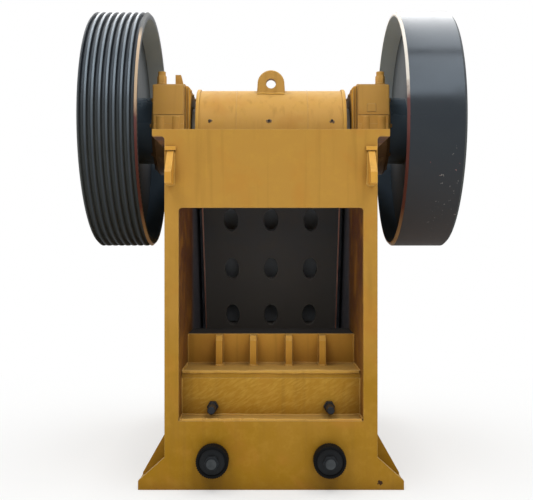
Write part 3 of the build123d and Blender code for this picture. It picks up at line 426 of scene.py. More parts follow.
# Outside the side walls: their corners, ribs, posts and foot gussets, and under the top flanges and
# the bearing housings
rail_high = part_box("foot_rail_right")[1]
side_rib_low, side_rib_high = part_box("side_ribs")
side_rib_thickness = 0.036
side_rib_pitch = (side_rib_high[2] - side_rib_thickness - side_rib_low[2]) / 2
post_low, post_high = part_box("side_posts")
gusset_low, gusset_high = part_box("foot_gussets")
gusset_half = 0.015
gusset_pitch = (gusset_high[1] - gusset_low[1] - 2 * gusset_half) / 3
flange_low, flange_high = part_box("top_flanges")
housing_rear, housing_front = -0.42, 0.20
seat_gusset_low, seat_gusset_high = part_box("seat_gussets")
seat_gusset_thickness = 0.040
seat_gusset_joint = 0.160
shape = bmesh.new()
for side in (-1, 1):
    x = side * outer_wall
    for y, facing in ((rear_inner, 1), (wall_high[1], -1)):
        weld_bead(shape, (x, y, rail_high[2]), (x, y, flange_low[2]), (side, facing, 0))
    weld_bead(shape, (x, rear_inner, rail_high[2]), (x, wall_high[1], rail_high[2]), (side, 0, 1), 0.016)
    for i in range(3):
        low = side_rib_low[2] + i * side_rib_pitch
        for z, up in ((low, -1), (low + side_rib_thickness, 1)):
            weld_bead(shape, (x, side_rib_low[1], z), (x, side_rib_high[1], z), (side, 0, up))
    for y, facing in ((post_low[1], -1), (post_low[1] + side_rib_thickness, 1),
                      (post_high[1] - side_rib_thickness, -1), (post_high[1], 1)):
        weld_bead(shape, (x, y, gusset_high[2]), (x, y, post_high[2]), (side, facing, 0))
    for i in range(4):
        middle = gusset_low[1] + gusset_half + i * gusset_pitch
        for facing in (-1, 1):
            y = middle + facing * gusset_half
            weld_bead(shape, (x, y, rail_high[2]), (x, y, gusset_high[2] - 0.02), (side, facing, 0))
            weld_bead(shape, (x, y, rail_high[2]), (side * (gusset_high[0] - 0.02), y, rail_high[2]),
                      (0, facing, 1))
    for y0, y1 in ((flange_low[1], housing_rear), (housing_front, flange_high[1])):
        weld_bead(shape, (x, y0, flange_low[2]), (x, y1, flange_low[2]), (side, 0, -1))
    for y, facing in ((seat_gusset_low[1], -1), (seat_gusset_low[1] + seat_gusset_thickness, 1),
                      (seat_gusset_high[1] - seat_gusset_thickness, -1), (seat_gusset_high[1], 1)):
        weld_bead(shape, (x, y, seat_gusset_low[2]), (x, y, seat_gusset_low[2] + seat_gusset_joint),
                  (side, facing, 0))
make_piece(shape, "side_weld_beads", "frame", "yellow_paint", paler_enamel_as_painted_highlight)

# Over and under the front wall's level ribs, and down its posts between them
front_rib_low, front_rib_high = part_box("front_ribs")
front_rib_thickness = 0.040
front_rib_pitch = (front_rib_high[2] - front_rib_thickness - front_rib_low[2]) / 4
front_rib_half = 0.600
front_post_pitch = 0.370
shape = bmesh.new()
for i in range(5):
    low = front_rib_low[2] + i * front_rib_pitch
    for z, up in ((low, -1), (low + front_rib_thickness, 1)):
        if z < front_rib_high[2]:
            weld_bead(shape, (-front_rib_half, front_high[1], z), (front_rib_half, front_high[1], z),
                      (0, 1, up))
    bottom = front_rib_low[2] + (i - 1) * front_rib_pitch + front_rib_thickness if i else 0.0
    for column in (-1, 0, 1):
        for side in (-1, 1):
            x = column * front_post_pitch + side * front_rib_thickness / 2
            weld_bead(shape, (x, front_high[1], bottom), (x, front_high[1], low), (side, 1, 0))
make_piece(shape, "front_weld_beads", "frame", "yellow_paint", paler_enamel_as_painted_highlight)


# Fasteners. Forged hexagon bolts and nuts of property class 8.8 with plain washers, put in before the
# last coat, so they wear enamel like what they hold; the jaw plates' bolts take its paler tone, a painted
# highlight.
def turned(shape, centre, axis, profile, sides=24, closed=False):
    """Turns a profile of places along the axis and radii; six sides make it a hexagon."""
    aim = Vector(axis).to_track_quat("Z", "Y")
    centre = Vector(centre)
    spokes = [Vector((math.cos(turn), math.sin(turn), 0))
              for turn in (2 * math.pi * i / sides for i in range(sides))]
    loops = []
    for along, radius in profile:
        loops.append([
            shape.verts.new(centre + aim @ (radius * spoke + Vector((0, 0, along))))
            for spoke in (spokes if radius else spokes[:1])])
    pairs = list(zip(loops, loops[1:]))
    if closed:
        pairs.append((loops[-1], loops[0]))
    for low, high in pairs:
        for i in range(sides):
            j = (i + 1) % sides
            corners = (low[i % len(low)], low[j % len(low)], high[j % len(high)], high[i % len(high)])
            shape.faces.new(list(dict.fromkeys(corners)))


def hexagon_fastener(shape, seat, axis, thread, stud=0.0):
    """A washer and a hexagon head on their seat, or a nut where a length of stud stands out."""
    washer = 0.17 * thread
    head = washer + (0.8 if stud else 0.64) * thread
    corner = 0.87 * thread
    turned(shape, seat, axis, [
        (-washer, 0), (-washer, 0.95 * thread), (0.8 * washer, 0.95 * thread), (washer, 0.88 * thread),
        (washer, 0)], 20)
    turned(shape, seat, axis, [
        (0, 0), (0, corner), (head - 0.1 * thread, corner), (head, 0.86 * corner), (head, 0)], 6)
    if stud:
        turned(shape, seat, axis, [
            (0, 0), (0, thread / 2), (head + stud - 0.08 * thread, thread / 2),
            (head + stud, 0.4 * thread), (head + stud, 0)], 14)


jaw_bolt = 0.036
jaw_bolt_columns = (-0.5, -0.185, 0.185, 0.5)
shape = bmesh.new()
for i in range(4):
    z = front_rib_low[2] + front_rib_thickness / 2 + (i + 0.5) * front_rib_pitch
    for x in jaw_bolt_columns:
        hexagon_fastener(shape, (x, front_high[1], z), (0, 1, 0), jaw_bolt, stud=0.014)
cheek_bolt = 0.030
cheek_bolt_columns = (0.62, 0.95)
cheek_bolt_rows = (0.87, 1.41, 1.91)
for side in (-1, 1):
    for y in cheek_bolt_columns:
        for z in cheek_bolt_rows:
            hexagon_fastener(shape, (side * outer_wall, y, z), (side, 0, 0), cheek_bolt, stud=0.012)
make_piece(shape, "jaw_plate_bolts", "frame", "yellow_paint", paler_enamel_as_painted_highlight)


# Bearing housings. Split grey-iron castings, machined where they meet and painted over the rough
# skin of the sand mould, with covers, bolts, a stud on each cap and a bare plate on one of them.
# Grit of the mould's sand is about 0.5 mm, and is drawn at 12 mm so that it shows
cast_enamel = machine_enamel("enamel_on_cast_iron", "C6964A", "A87830", grain_mm=12, grain_depth_mm=1.3)
# Under the ears the seats, their gussets, the outer covers and the housing bolts are painted with shade:
# dark brown below the flange
enamel_with_painted_shade_under_ears = machine_enamel(
    "cast_iron_with_painted_shade_under_its_ear", "C6964A", "A87830", grain_mm=12, grain_depth_mm=1.3, painted_shade_below=2.275)
dress(cast_enamel, "bearing_cap_left", "bearing_cap_right")
# The inner covers take the paler enamel too, as painted light
dress(paler_enamel_as_painted_light, "inner_covers")
dress(enamel_with_painted_shade_under_ears, "bearing_seat_left", "bearing_seat_right", "outer_covers", "seat_gussets")
cap_low, cap_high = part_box("bearing_cap_right")
cap_inner, cap_outer = cap_low[0], cap_high[0]
cap_quarter = (cap_outer - cap_inner) / 4
flange_half = 0.060
flange_middle = 0.340
cap_reach = 0.370
pocket_reach = 0.300
inner_cover_high_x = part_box("inner_covers")[1][0]
inner_cover_face = inner_cover_high_x - 0.035
inner_cover_half = 0.298
inner_cover_bottom, inner_cover_top = shaft.z - 0.140, shaft.z + 0.259
inner_cover_bolt = 0.012
inner_cover_bolt_spots = (
    (-0.265, -0.09), (-0.265, 0.243), (-0.09, 0.243), (0.09, 0.243), (0.265, -0.09), (0.265, 0.243))
outer_cover_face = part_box("outer_covers")[1][0]
outer_cover_bolt = 0.016
outer_cover_bolt_circle = 0.272
flange_bolt = 0.036
cap_stud_x = cap_outer - 0.054
cap_stud_y = shaft.y - 0.2635
cap_top = shaft.z + 0.289


def bevelled_block(shape, corner, opposite, edge):
    """A block between two corners with its edges broken."""
    made = bmesh.ops.create_cube(shape, size=1.0)["verts"]
    spans = [abs(b - a) for a, b in zip(corner, opposite)]
    middle = [(a + b) / 2 for a, b in zip(corner, opposite)]
    bmesh.ops.scale(shape, verts=made, vec=spans)
    bmesh.ops.translate(shape, verts=made, vec=middle)
    edges = list({edge_of for vert in made for edge_of in vert.link_edges})
    bmesh.ops.bevel(shape, geom=edges, offset=edge, segments=2, affect="EDGES")


# Cheeks that close the pockets of the cap's nuts, bosses round the bolts, and rims of the covers
cheek_top = 2.596
cover_rim = 0.009
shape = bmesh.new()
for side in (-1, 1):
    for facing in (-1, 1):
        outer_y = shaft.y + facing * cap_reach
        inner_y = shaft.y + facing * pocket_reach
        bevelled_block(shape, (side * (cap_inner + 0.002), outer_y, shaft.z + flange_half - 0.001),
                       (side * (cap_outer - 0.002), inner_y, cheek_top), 0.005)
        for x in (cap_inner + cap_quarter, cap_outer - cap_quarter):
            boss = (side * x, shaft.y + facing * flange_middle, shaft.z - flange_half + 0.002)
            turned(shape, boss, (0, 0, 1), [
                (0, 0), (0, 0.041), (0.106, 0.041), (0.113, 0.036), (0.113, 0)], 28)
    for x0, x1, reach in ((inner_cover_high_x - 0.008, inner_cover_high_x - 0.001, cover_rim),
                          (inner_cover_high_x - 0.026, inner_cover_high_x - 0.019, cover_rim * 0.7)):
        bevelled_block(shape, (side * x0, shaft.y - inner_cover_half - reach, inner_cover_bottom),
                       (side * x1, shaft.y + inner_cover_half + reach, inner_cover_top), 0.002)
make_piece(shape, "cap_cheeks_and_bosses", "frame", "yellow_paint", cast_enamel)

for name, side in (("left", -1), ("right", 1)):
    shape = bmesh.new()
    for x in (cap_inner + cap_quarter, cap_outer - cap_quarter):
        for y in (shaft.y - flange_middle, shaft.y + flange_middle):
            hexagon_fastener(shape, (side * x, y, shaft.z - flange_half), (0, 0, -1), flange_bolt)
    seat = (side * cap_stud_x, cap_stud_y, cap_top)
    turned(shape, seat, (0, 0, 1), [
        (-0.006, 0), (-0.006, 0.037), (0.006, 0.037), (0.008, 0.034), (0.008, 0)], 24)
    turned(shape, seat, (0, 0, 1), [
        (0, 0), (0, 0.0335), (0.056, 0.0335), (0.062, 0.029), (0.062, 0)], 6)
    for i in range(8):
        turn = math.pi * i / 4
        spot = (side * outer_cover_face, shaft.y + outer_cover_bolt_circle * math.cos(turn),
                shaft.z + outer_cover_bolt_circle * math.sin(turn))
        hexagon_fastener(shape, spot, (side, 0, 0), outer_cover_bolt)
    for y, z in inner_cover_bolt_spots:
        spot = (side * inner_cover_face, shaft.y + y, shaft.z + z)
        hexagon_fastener(shape, spot, (-side, 0, 0), inner_cover_bolt)
    make_piece(shape, f"housing_bolts_{name}", "frame", "yellow_paint", enamel_with_painted_shade_under_ears)

# A small bare plate with a rivet at each corner
plate_x, plate_z = 0.694, 2.435
plate_half_width, plate_half_height = 0.031, 0.028
plate_face = shaft.y - cap_reach
plate_proud = 0.004
rivet_inset = 0.006
shape = bmesh.new()
bevelled_block(shape, (plate_x - plate_half_width, plate_face - plate_proud, plate_z - plate_half_height),
               (plate_x + plate_half_width, plate_face + 0.001, plate_z + plate_half_height), 0.0012)
for side in (-1, 1):
    for up in (-1, 1):
        spot = (plate_x + side * (plate_half_width - rivet_inset), plate_face - plate_proud,
                plate_z + up * (plate_half_height - rivet_inset))
        turned(shape, spot, (0, -1, 0), [(-0.002, 0), (0, 0.003), (0.0015, 0.0022), (0.002, 0)], 10)
make_piece(shape, "bare_plate", "frame", "yellow_paint", cast_enamel)


# Swing jaw. One steel casting: a bored barrel, fettled smooth and sprayed yellow, and a ribbed body
# that hangs in the frame and keeps its dark primer, dull and grey with crusher dust.
barrel_enamel = machine_enamel("enamel_on_barrel", "CA9A4C", "AC7C2E", grain_mm=14, grain_depth_mm=0.8)


def rough_casting(name, skin, worn, grain_mm, grain_depth_mm, roughness, metallic=0.0, dusty_below=None,
                  corner_dirt_and_shade=0.7, shine=0.5):
    """Skin of a sand-cast piece: pitted grain, patches rubbed or rusted through, dust low down, and dark
    dirt and painted shade in its corners.
    """
    material, shader = new_material(name, roughness, metallic)
    shader.inputs["Specular IOR Level"].default_value = shine
    place = add(material, "ShaderNodeTexCoord").outputs["Object"]
    patch = add(material, "ShaderNodeTexNoise", {
        "Vector": place, "Scale": 1 / 0.16, "Detail": 6.0, "Roughness": 0.65}).outputs[0]
    layers = [(patch, 0.42, 0.68, 0.8, worn)]
    if dusty_below is not None:
        height = add(material, "ShaderNodeSeparateXYZ", {0: place}).outputs["Z"]
        layers.append((height, dusty_below, dusty_below - 0.7, 0.8, "66625C"))
    # Dark dirt and painted shade where the surface is closed in
    openness_for_painted_corner_shade = add(material, "ShaderNodeAmbientOcclusion", {"Distance": 0.08}, samples=4).outputs["AO"]
    layers.append((openness_for_painted_corner_shade, 0.7, 0.2, corner_dirt_and_shade, "15110E"))
    paint(material, shader, skin, layers)
    gloss = add(material, "ShaderNodeMapRange", {
        "Value": patch, "From Min": 0.3, "From Max": 0.7,
        "To Min": roughness - 0.08, "To Max": roughness + 0.1}).outputs[0]
    material.node_tree.links.new(gloss, shader.inputs["Roughness"])
    rounded = add(material, "ShaderNodeBevel", {"Radius": 0.006}, samples=4).outputs[0]
    press_grain(material, shader, place, rounded, grain_mm, grain_depth_mm, 0.7, 4.0, 0.65)
    return material


# Grit of a steel sand casting is about 1 mm, and is drawn at 10 mm so that it shows
primed_casting = rough_casting("primed_steel_casting", "363638", "423E3A", 10, 1.0, 0.66, dusty_below=1.65)
barrel_radius = 0.305
barrel_half = 0.527

# The inside of the cells is painted a paler grey, painted light that lifts their shade, and the long back
# edges have rust with a painted highlight
cell_grey_as_painted_light = rough_casting("pale_grey_painted_light_in_cells", "A8ACB0", "9C9A9A", 10, 1.0, 0.8, corner_dirt_and_shade=0.3)
rust_and_highlight_edge = rough_casting("rust_with_painted_highlight", "F0B8A4", "D09080", 10, 0.6, 0.6, corner_dirt_and_shade=0.0)
nip = math.radians(20)
jaw_half = 0.518
jaw_depth = 0.270
back_wall = 0.034
back_offset, back_taper, taper_from = -0.080, 0.0397, 0.300
cells_from, cells_to = 0.4, 1.6


def jaw_finish(face):
    """Barrel, back, long edges or cells, from a face's offset and drop along the jaw."""
    y, z = face.center.y - barrel.y, face.center.z - barrel.z
    if math.hypot(y, z) < barrel_radius + 0.004 and z > -0.28:
        return 0
    offset = y * math.cos(nip) + z * math.sin(nip)
    drop = y * math.sin(nip) - z * math.cos(nip)
    back = back_offset + max(0.0, drop - taper_from) * back_taper
    cored = back + back_wall < offset < jaw_depth - 0.004 and cells_from < drop < cells_to
    if cored and abs(face.center.x) < jaw_half - 0.004:
        return 3
    if abs(face.center.x) > 0.4 and 0.3 < abs(face.normal.x) < 0.95 and offset < 0.0:
        return 2
    return 1


finish_faces("swing_jaw", [barrel_enamel, primed_casting, rust_and_highlight_edge, cell_grey_as_painted_light], jaw_finish)
dress(barrel_enamel, "lifting_eye")
greasy_steel = rough_casting("greasy_dark_steel", "4E3C2A", "5E4830", 12, 0.4, 0.45, metallic=0.1)
dress(greasy_steel, "barrel_seals", "main_bearings", "jaw_bearings")

# Turned end rings that close the seals, a little prouder than the barrel
barrel_steps = 96
shape = bmesh.new()
for side in (-1, 1):
    turned(shape, (side * 0.505, barrel.y, barrel.z), (side, 0, 0), [
        (0, 0.300), (0, 0.312), (0.003, 0.315), (0.022, 0.315), (0.025, 0.312), (0.025, 0.288)],
        barrel_steps, closed=True)
# The end rings take the paler enamel, a painted highlight
make_piece(shape, "barrel_end_rings", "swing_jaw", "barrel_and_jaw", paler_enamel_as_painted_highlight)

# Joints of the mould round the barrel, and the painted bolts of its seal covers
mould_joints = (-0.244, 0.258)
seal_bolts = 10
seal_bolt_circle = 0.250
shape = bmesh.new()
for x in mould_joints:
    turned(shape, (x, barrel.y, barrel.z), (1, 0, 0), [
        (along, barrel_radius + proud)
        for along, proud in ((-0.004, -0.002), (-0.0025, 0.0016), (0.0025, 0.0016), (0.004, -0.002))],
        barrel_steps, closed=True)
for side in (-1, 1):
    for i in range(seal_bolts):
        turn = 2 * math.pi * (i + 0.5) / seal_bolts
        spot = (side * barrel_half, barrel.y + seal_bolt_circle * math.cos(turn),
                barrel.z + seal_bolt_circle * math.sin(turn))
        turned(shape, spot, (side, 0, 0), [
            (-0.002, 0), (-0.002, 0.011), (0.006, 0.011), (0.008, 0.0095), (0.008, 0)], 6)
make_piece(shape, "barrel_ridges_and_bolts", "swing_jaw", "barrel_and_jaw", barrel_enamel)

shape = bmesh.new()
eye_low, eye_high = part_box("lifting_eye")
for y, facing in ((eye_low[1], -1), (eye_high[1], 1)):
    z = barrel.z + math.sqrt(barrel_radius ** 2 - (y - barrel.y) ** 2)
    weld_bead(shape, (eye_low[0], y, z), (eye_high[0], y, z), (0, facing, 1), 0.018)
# The eye's welds take the paler enamel, a painted highlight
make_piece(shape, "eye_weld_beads", "swing_jaw", "barrel_and_jaw", paler_enamel_as_painted_highlight)

# Grease plugs. Three small blackened plugs in the barrel's rear, each with a smear of old grease.
blackened_steel = rough_casting("blackened_steel", "0C0E14", "181D24", 14, 0.25, 0.45, metallic=0.15,
                                shine=0.35)
grease, grease_shader = new_material("old_grease", 0.3)
grease_place = add(grease, "ShaderNodeTexCoord").outputs["Object"]
grease_drift = add(grease, "ShaderNodeTexNoise", {"Vector": grease_place, "Scale": 60.0}).outputs[0]
paint(grease, grease_shader, "4A3010", [(grease_drift, 0.0, 1.0, 1.0, "7C5A24")])
grease_hand = random.Random(3)
plug_turn = math.radians(171)
plug_places = (-0.43, -0.014, 0.426)
shape = bmesh.new()
smears = bmesh.new()
for x in plug_places:
    out = Vector((0, math.cos(plug_turn), math.sin(plug_turn)))
    spot = Vector((x, barrel.y, barrel.z)) + out * barrel_radius
    turned(shape, spot, out, [
        (-0.004, 0), (-0.004, 0.009), (0.003, 0.009), (0.005, 0.007), (0.005, 0.004), (0.001, 0.003),
        (0.001, 0)], 12)
    for i in range(7):
        turn = plug_turn + math.radians(grease_hand.uniform(-0.6, 2.6))
        down = Vector((0, math.cos(turn), math.sin(turn)))
        place = Vector((x + grease_hand.uniform(-0.014, 0.014), barrel.y, barrel.z)) + down * barrel_radius
        size = grease_hand.uniform(0.005, 0.009)
        turned(smears, place, down, [(-0.002, 0), (0.0, size), (0.0010, 0.6 * size), (0.0013, 0)], 12)
make_piece(shape, "barrel_grease_plugs", "swing_jaw", "black_steel", blackened_steel)
make_piece(smears, "grease_smears", "swing_jaw", "barrel_and_jaw", grease)


# Belt pulley and flywheel. Grey-iron castings turned all over the rim and sprayed with charcoal
# gloss enamel. Their turned edges are left in red primer, painted pale at the top as a painted
# highlight, and the insides keep a cast skin under the same enamel.

# The peel of the gloss enamel is 3 mm across, and is drawn at 12 mm so that it shows
peel_mm = 12


def wheel_enamel(name, colour, faded, gloss, shine=0.6, lip_mm=3, shaded=""):
    """Gloss enamel: its shine, the radius its edges look rounded by, and its painted shade low in the
    wheel.
    """
    material, shader = new_material(name, gloss)
    shader.inputs["Specular IOR Level"].default_value = shine
    shader.inputs["Specular Tint"].default_value = linear("D2E2F2")
    place = add(material, "ShaderNodeTexCoord").outputs["Object"]
    spot = add(material, "ShaderNodeSeparateXYZ", {0: place}).outputs
    drift = add(material, "ShaderNodeTexNoise", {
        "Vector": place, "Scale": 1 / 0.3, "Detail": 5.0, "Roughness": 0.6}).outputs[0]
    layers = [(drift, 0.4, 0.7, 0.6, faded)]

    # Chips a few millimetres to a centimetre wide, thickest on the lower outer side of the flywheel,
    # which bare red primer in one place and grey filler in another
    chip = add(material, "ShaderNodeTexNoise", {
        "Vector": place, "Scale": 1 / 0.028, "Detail": 3.0, "Roughness": 0.7}).outputs[0]
    for axis, start, full in (("X", 0.98, 1.1), ("Z", 2.22, 2.05)):
        likely = add(material, "ShaderNodeMapRange", {
            "Value": spot[axis], "From Min": start, "From Max": full, "To Max": 0.09}).outputs[0]
        chip = add(material, "ShaderNodeMath", {0: chip, 1: likely}, operation="ADD").outputs[0]
    filled = add(material, "ShaderNodeMapRange", {
        "Value": drift, "From Min": 0.44, "From Max": 0.5}).outputs[0]
    primer = add(material, "ShaderNodeMix", {
        "Factor": filled, 6: "A05048", 7: "9A9690"}, data_type="RGBA").outputs[2]
    layers.append((chip, 0.84, 0.86, 0.9, primer))

    # Browner and duller towards the bottom
    film = add(material, "ShaderNodeMath", {
        0: drift, 1: 0.5, 2: spot["Z"]}, operation="MULTIPLY_ADD").outputs[0]
    film = add(material, "ShaderNodeMapRange", {
        "Value": film, "From Min": 2.62, "From Max": 1.78}).outputs[0]
    browning_low_down = add(material, "ShaderNodeMath", {0: film, 1: 2.0}, operation="POWER").outputs[0]
    layers.append((browning_low_down, 0.0, 1.0, 1.0, "33281F"))
    # Painted shade: the tone turns to the shaded colour low in the wheel
    if shaded:
        layers.append((spot["Z"], 2.6, 2.1, 1.0, shaded))
    paint(material, shader, colour, layers)
    haze = add(material, "ShaderNodeMapRange", {
        "Value": drift, "From Min": 0.3, "From Max": 0.7,
        "To Min": gloss, "To Max": gloss + 0.12}).outputs[0]
    haze = add(material, "ShaderNodeMath", {
        0: film, 1: 0.55, 2: haze}, operation="MULTIPLY_ADD").outputs[0]
    material.node_tree.links.new(haze, shader.inputs["Roughness"])
    rounded = add(material, "ShaderNodeBevel", {"Radius": lip_mm / 1000}, samples=4).outputs[0]
    press_grain(material, shader, place, rounded, peel_mm, 0.4, 0.3, 2.0, 0.5)
    return material


rim_enamel = wheel_enamel("charcoal_gloss_enamel", "121416", "1E1E1C", 0.17)
# Lands and grooves share one coat, painted as light falls on them: the lands pale above as a painted sky
# reflection and dark low down as painted shade, the grooves dark above as painted shade and paler low down
land_enamel_painted_light = wheel_enamel("charcoal_enamel_on_lands_painted_light", "565F65", "5E6568", 0.25, shine=0.9, lip_mm=12,
                           shaded="1A1C1C")
groove_enamel_painted_light_and_shade = wheel_enamel("charcoal_enamel_in_grooves_painted_light_and_shade", "22262A", "282A2C", 0.36, shine=0.5, lip_mm=12,
                             shaded="3E3F3B")
# The web and the inside of the rim share one coat: the web painted darker as shade, the inside of the rim
# paler as painted light, both darker low down as painted shade
web_enamel_painted_shade = wheel_enamel("grey_enamel_on_web_painted_shade", "363B3C", "42464A", 0.45, shine=0.3, shaded="161E26")
rim_inside_enamel_painted_light = wheel_enamel("grey_enamel_inside_rim_painted_light", "98A8B4", "A4B0B8", 0.5, shine=0.3,
                                 shaded="2C3945")
hub_enamel = wheel_enamel("dark_blue_enamel_on_hub", "38444E", "444E56", 0.2)


def primer_with_painted_highlight(name, highlight_colour, highlight_above, painted_above):
    """Red primer on a turned edge: a pale painted highlight at the top, tan with dirt at the bottom,
    painted above.
    """
    material, shader = new_material(name, 0.5)
    place = add(material, "ShaderNodeTexCoord").outputs["Object"]
    height = add(material, "ShaderNodeSeparateXYZ", {0: place}).outputs["Z"]
    drift = add(material, "ShaderNodeTexNoise", {
        "Vector": place, "Scale": 1 / 0.06, "Detail": 5.0, "Roughness": 0.7}).outputs[0]
    drift = add(material, "ShaderNodeMath", {
        0: drift, 1: 0.16, 2: height}, operation="MULTIPLY_ADD").outputs[0]
    paint(material, shader, "603432", [
        (drift, highlight_above, highlight_above + 0.14, 1.0, highlight_colour), (height, 1.74, 1.56, 1.0, "A88C68"),
        (height, painted_above, painted_above + 0.09, 1.0, "2C302F")])
    return material


pulley_edge = primer_with_painted_highlight("primer_on_pulley_edge", "C8AC8C", 2.36, 2.86)
flywheel_edge = primer_with_painted_highlight("primer_on_flywheel_edge", "E8E2D6", 2.50, 3.3)


def turned_steel(name, bright, stained, roughness):
    """Turned steel under a film of oil, with tool marks 0.3 mm apart drawn at 4 mm."""
    material, shader = new_material(name, roughness, 0.85)
    place = add(material, "ShaderNodeTexCoord").outputs["Object"]
    stain = add(material, "ShaderNodeTexNoise", {
        "Vector": place, "Scale": 1 / 0.05, "Detail": 5.0, "Roughness": 0.65}).outputs[0]
    paint(material, shader, bright, [(stain, 0.0, 1.0, 1.0, stained)])
    about = add(material, "ShaderNodeVectorMath", {
        0: place, 1: (0, shaft.y, shaft.z)}, operation="SUBTRACT").outputs[0]
    marks = add(material, "ShaderNodeTexWave", {
        "Vector": about, "Scale": 1000 / 4 / 20, "Distortion": 0.4},
        wave_type="RINGS", rings_direction="X").outputs[1]
    bump = add(material, "ShaderNodeBump", {"Height": marks, "Strength": 0.25, "Distance": 0.0004})
    material.node_tree.links.new(bump.outputs[0], shader.inputs["Normal"])
    return material


oiled_steel = turned_steel("oiled_turned_steel", "8F8A80", "5A4E40", 0.34)
wheel_radius = 0.840
wheel_middle = 1.01
edge_band = 0.0165
groove_depth = 0.030
hub_radius = 0.262
bored_radius = 0.242


def wheel_finish(inner_x, edge_reach):
    """Chooser of finishes for one wheel, from where its inner edge is and how wide that shows."""
    def choose(face):
        spoke = Vector((0, face.center.y - shaft.y, face.center.z - shaft.z))
        outward = face.normal.dot(spoke.normalized())
        x = abs(face.center.x)
        if x < inner_x + edge_band and spoke.length > wheel_radius - edge_reach and -0.3 < outward < 0.95:
            return 1
        if spoke.length > wheel_radius - 0.002 and outward > 0.5:
            return 0
        if spoke.length > wheel_radius - groove_depth and outward > -0.2:
            return 5
        if abs(face.normal.x) > 0.99 and spoke.length < bored_radius:
            return 3
        outside = x > wheel_middle
        if spoke.length < hub_radius:
            return 0 if outside else 4
        return 2 if outside or abs(face.normal.x) > 0.8 else 6
    return choose


pulley_inner, flywheel_inner = 0.857, 0.870
flywheel_edge_reach = 0.027
inner_finishes = [web_enamel_painted_shade, oiled_steel, hub_enamel, groove_enamel_painted_light_and_shade, rim_inside_enamel_painted_light]
finish_faces("belt_pulley", [land_enamel_painted_light, pulley_edge, *inner_finishes],
             wheel_finish(pulley_inner, edge_band))
finish_faces("flywheel", [rim_enamel, flywheel_edge, *inner_finishes],
             wheel_finish(flywheel_inner, flywheel_edge_reach))
dress(oiled_steel, "eccentric_shaft", "wheel_lock_rings")

# Socket screws that squeeze the lock rings on the shaft
ring_low, ring_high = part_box("wheel_lock_rings")
ring_screws = 12
ring_screw_circle = 0.160
shape = bmesh.new()
for face_x, side in ((ring_low[0], -1), (ring_high[0], 1)):
    for i in range(ring_screws):
        turn = 2 * math.pi * i / ring_screws
        spot = (face_x, shaft.y + ring_screw_circle * math.cos(turn),
                shaft.z + ring_screw_circle * math.sin(turn))
        turned(shape, spot, (side, 0, 0), [
            (-0.001, 0), (-0.001, 0.009), (0.008, 0.009), (0.009, 0.008), (0.009, 0.005), (0.004, 0.005),
            (0.004, 0)], 12)
make_piece(shape, "lock_ring_screws", "shaft", "black_steel", blackened_steel)


# Toggle beam. The face in the recess was brushed by hand after the bolts were set, and its enamel
# shows the strokes. The two adjusting bolts are blackened steel with cut threads and locked nuts.
brushed_enamel = machine_enamel("brushed_enamel", "B88A2E", "AC7C1C", grain_mm=8, grain_depth_mm=0.4,
                                strokes=0.3)
dress(brushed_enamel, "recess_plate")
dress(blackened_steel, "adjusting_bolts", "tension_springs")
brown_primer = rough_casting("primed_toggle_block", "3A2A18", "5A4020", 10, 0.8, 0.6)
dress(brown_primer, "toggle_block", "toggle_plate", "shims", "beam_abutment")
dusty_steel = rough_casting("black_oily_dust", "1C1A19", "26221E", 12, 0.8, 0.8)
dress(dusty_steel, "beam_top_plate")
adjuster_low, adjuster_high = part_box("adjusting_bolts")
adjuster_inner = 0.3282
adjuster_x = (adjuster_high[0] + adjuster_inner) / 2
adjuster_z = (adjuster_low[2] + adjuster_high[2]) / 2
# The pitch of an M42 thread is 4.5 mm, and is drawn at 6 mm so that it shows
thread_pitch = 0.006
thread_radius = 0.0215
thread_depth = 0.002
thread_turns = 14
shape = bmesh.new()
for side in (-1, 1):
    profile = [(0.002, 0)]
    for i in range(thread_turns):
        root = 0.004 + i * thread_pitch
        profile += [(root, thread_radius - thread_depth), (root + thread_pitch / 2, thread_radius)]
    profile.append((0.004 + thread_turns * thread_pitch, 0))
    turned(shape, (side * adjuster_x, adjuster_low[1], adjuster_z), (0, 1, 0), profile, 20)
make_piece(shape, "adjuster_threads", "frame", "black_steel", blackened_steel)

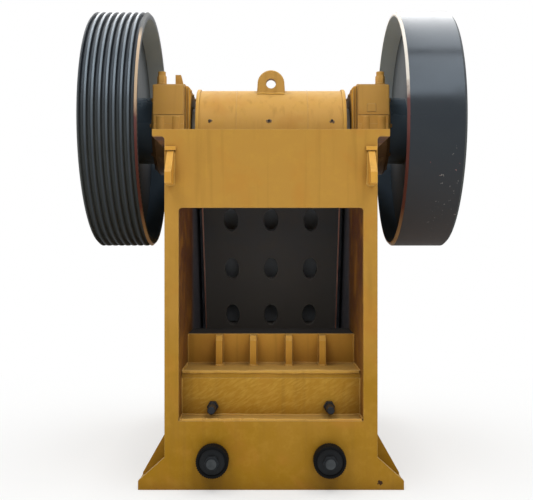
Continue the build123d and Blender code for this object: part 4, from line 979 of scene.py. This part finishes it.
# Spring caps. Pressed steel cups with a knurled rim and a sunk face, which hold the springs of the
# tension rods. Each is locked by a nut on the rod's end. Blackened and oiled.
spring_low, spring_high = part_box("spring_caps")
cap_radius = (spring_high[2] - spring_low[2]) / 2
rod_z = (spring_high[2] + spring_low[2]) / 2
rod_x = spring_high[0] - cap_radius
cup_back = rear_low[1] - 0.012
knurls = 44
oily_black = rough_casting("oily_black_steel", "060607", "0A0B0C", 14, 0.3, 0.7, shine=0.12)
dull_black = rough_casting("dull_black_steel", "1C1E20", "24282C", 14, 0.3, 0.6, shine=0.2)
shape = bmesh.new()
for side in (-1, 1):
    middle = Vector((side * rod_x, spring_low[1], rod_z))
    loops = []
    for along, radius, knurled in (
            (cup_back - spring_low[1], 0.955, True), (0.020, 0.955, True), (0.010, 0.955, True),
            (0.001, 0.95, True), (0.0, 0.93, False), (0.0, 0.82, False), (0.006, 0.80, False),
            (0.015, 0.79, False), (0.016, 0.3, False)):
        loop = []
        for i in range(2 * knurls):
            turn = math.pi * i / knurls
            reach = cap_radius * radius + (0.0044 if knurled and i % 2 else 0.0)
            loop.append(shape.verts.new(
                middle + Vector((reach * math.cos(turn), along, reach * math.sin(turn)))))
        loops.append(loop)
    for low, high in zip(loops, loops[1:]):
        for i in range(2 * knurls):
            j = (i + 1) % (2 * knurls)
            shape.faces.new((low[i], low[j], high[j], high[i])).material_index = int(low is loops[-2])
    shape.faces.new(loops[0])
    shape.faces.new(loops[-1]).material_index = 1
cups = make_piece(shape, "knurled_spring_caps", "frame", "black_steel", oily_black, dull_black)
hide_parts("spring_caps")

# The rods' nuts are as dull as the cups, and spanners have rubbed the rods' ends bright
rod_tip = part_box("tension_rods")[0][1]
rubbed_steel = turned_steel("rubbed_rod_end", "54585A", "222426", 0.42)
finish_faces("tension_rods", [dull_black, rubbed_steel],
             lambda face: int(face.center.y < rod_tip + 0.006 and face.normal.y < -0.9))


# Jaw plates and cheek plates. Cast manganese steel, left unpainted: a dull grey-brown casting skin
# with a little red rust.
manganese_steel = rough_casting("cast_manganese_steel", "4A4643", "6A4A36", 12, 1.2, 0.55, metallic=0.45)
dress(manganese_steel, "fixed_jaw_plate", "swing_jaw_plate", "jaw_wedge")
# The cheek plates are painted a paler blue-grey with no darkening in corners, painted light that lifts
# them out of the chamber's shade
liner_steel_painted_light = rough_casting("liner_plate_painted_light", "7C828C", "74727A", 12, 0.9, 0.5, metallic=0.2,
                            corner_dirt_and_shade=0.0)
dress(liner_steel_painted_light, "cheek_plates")
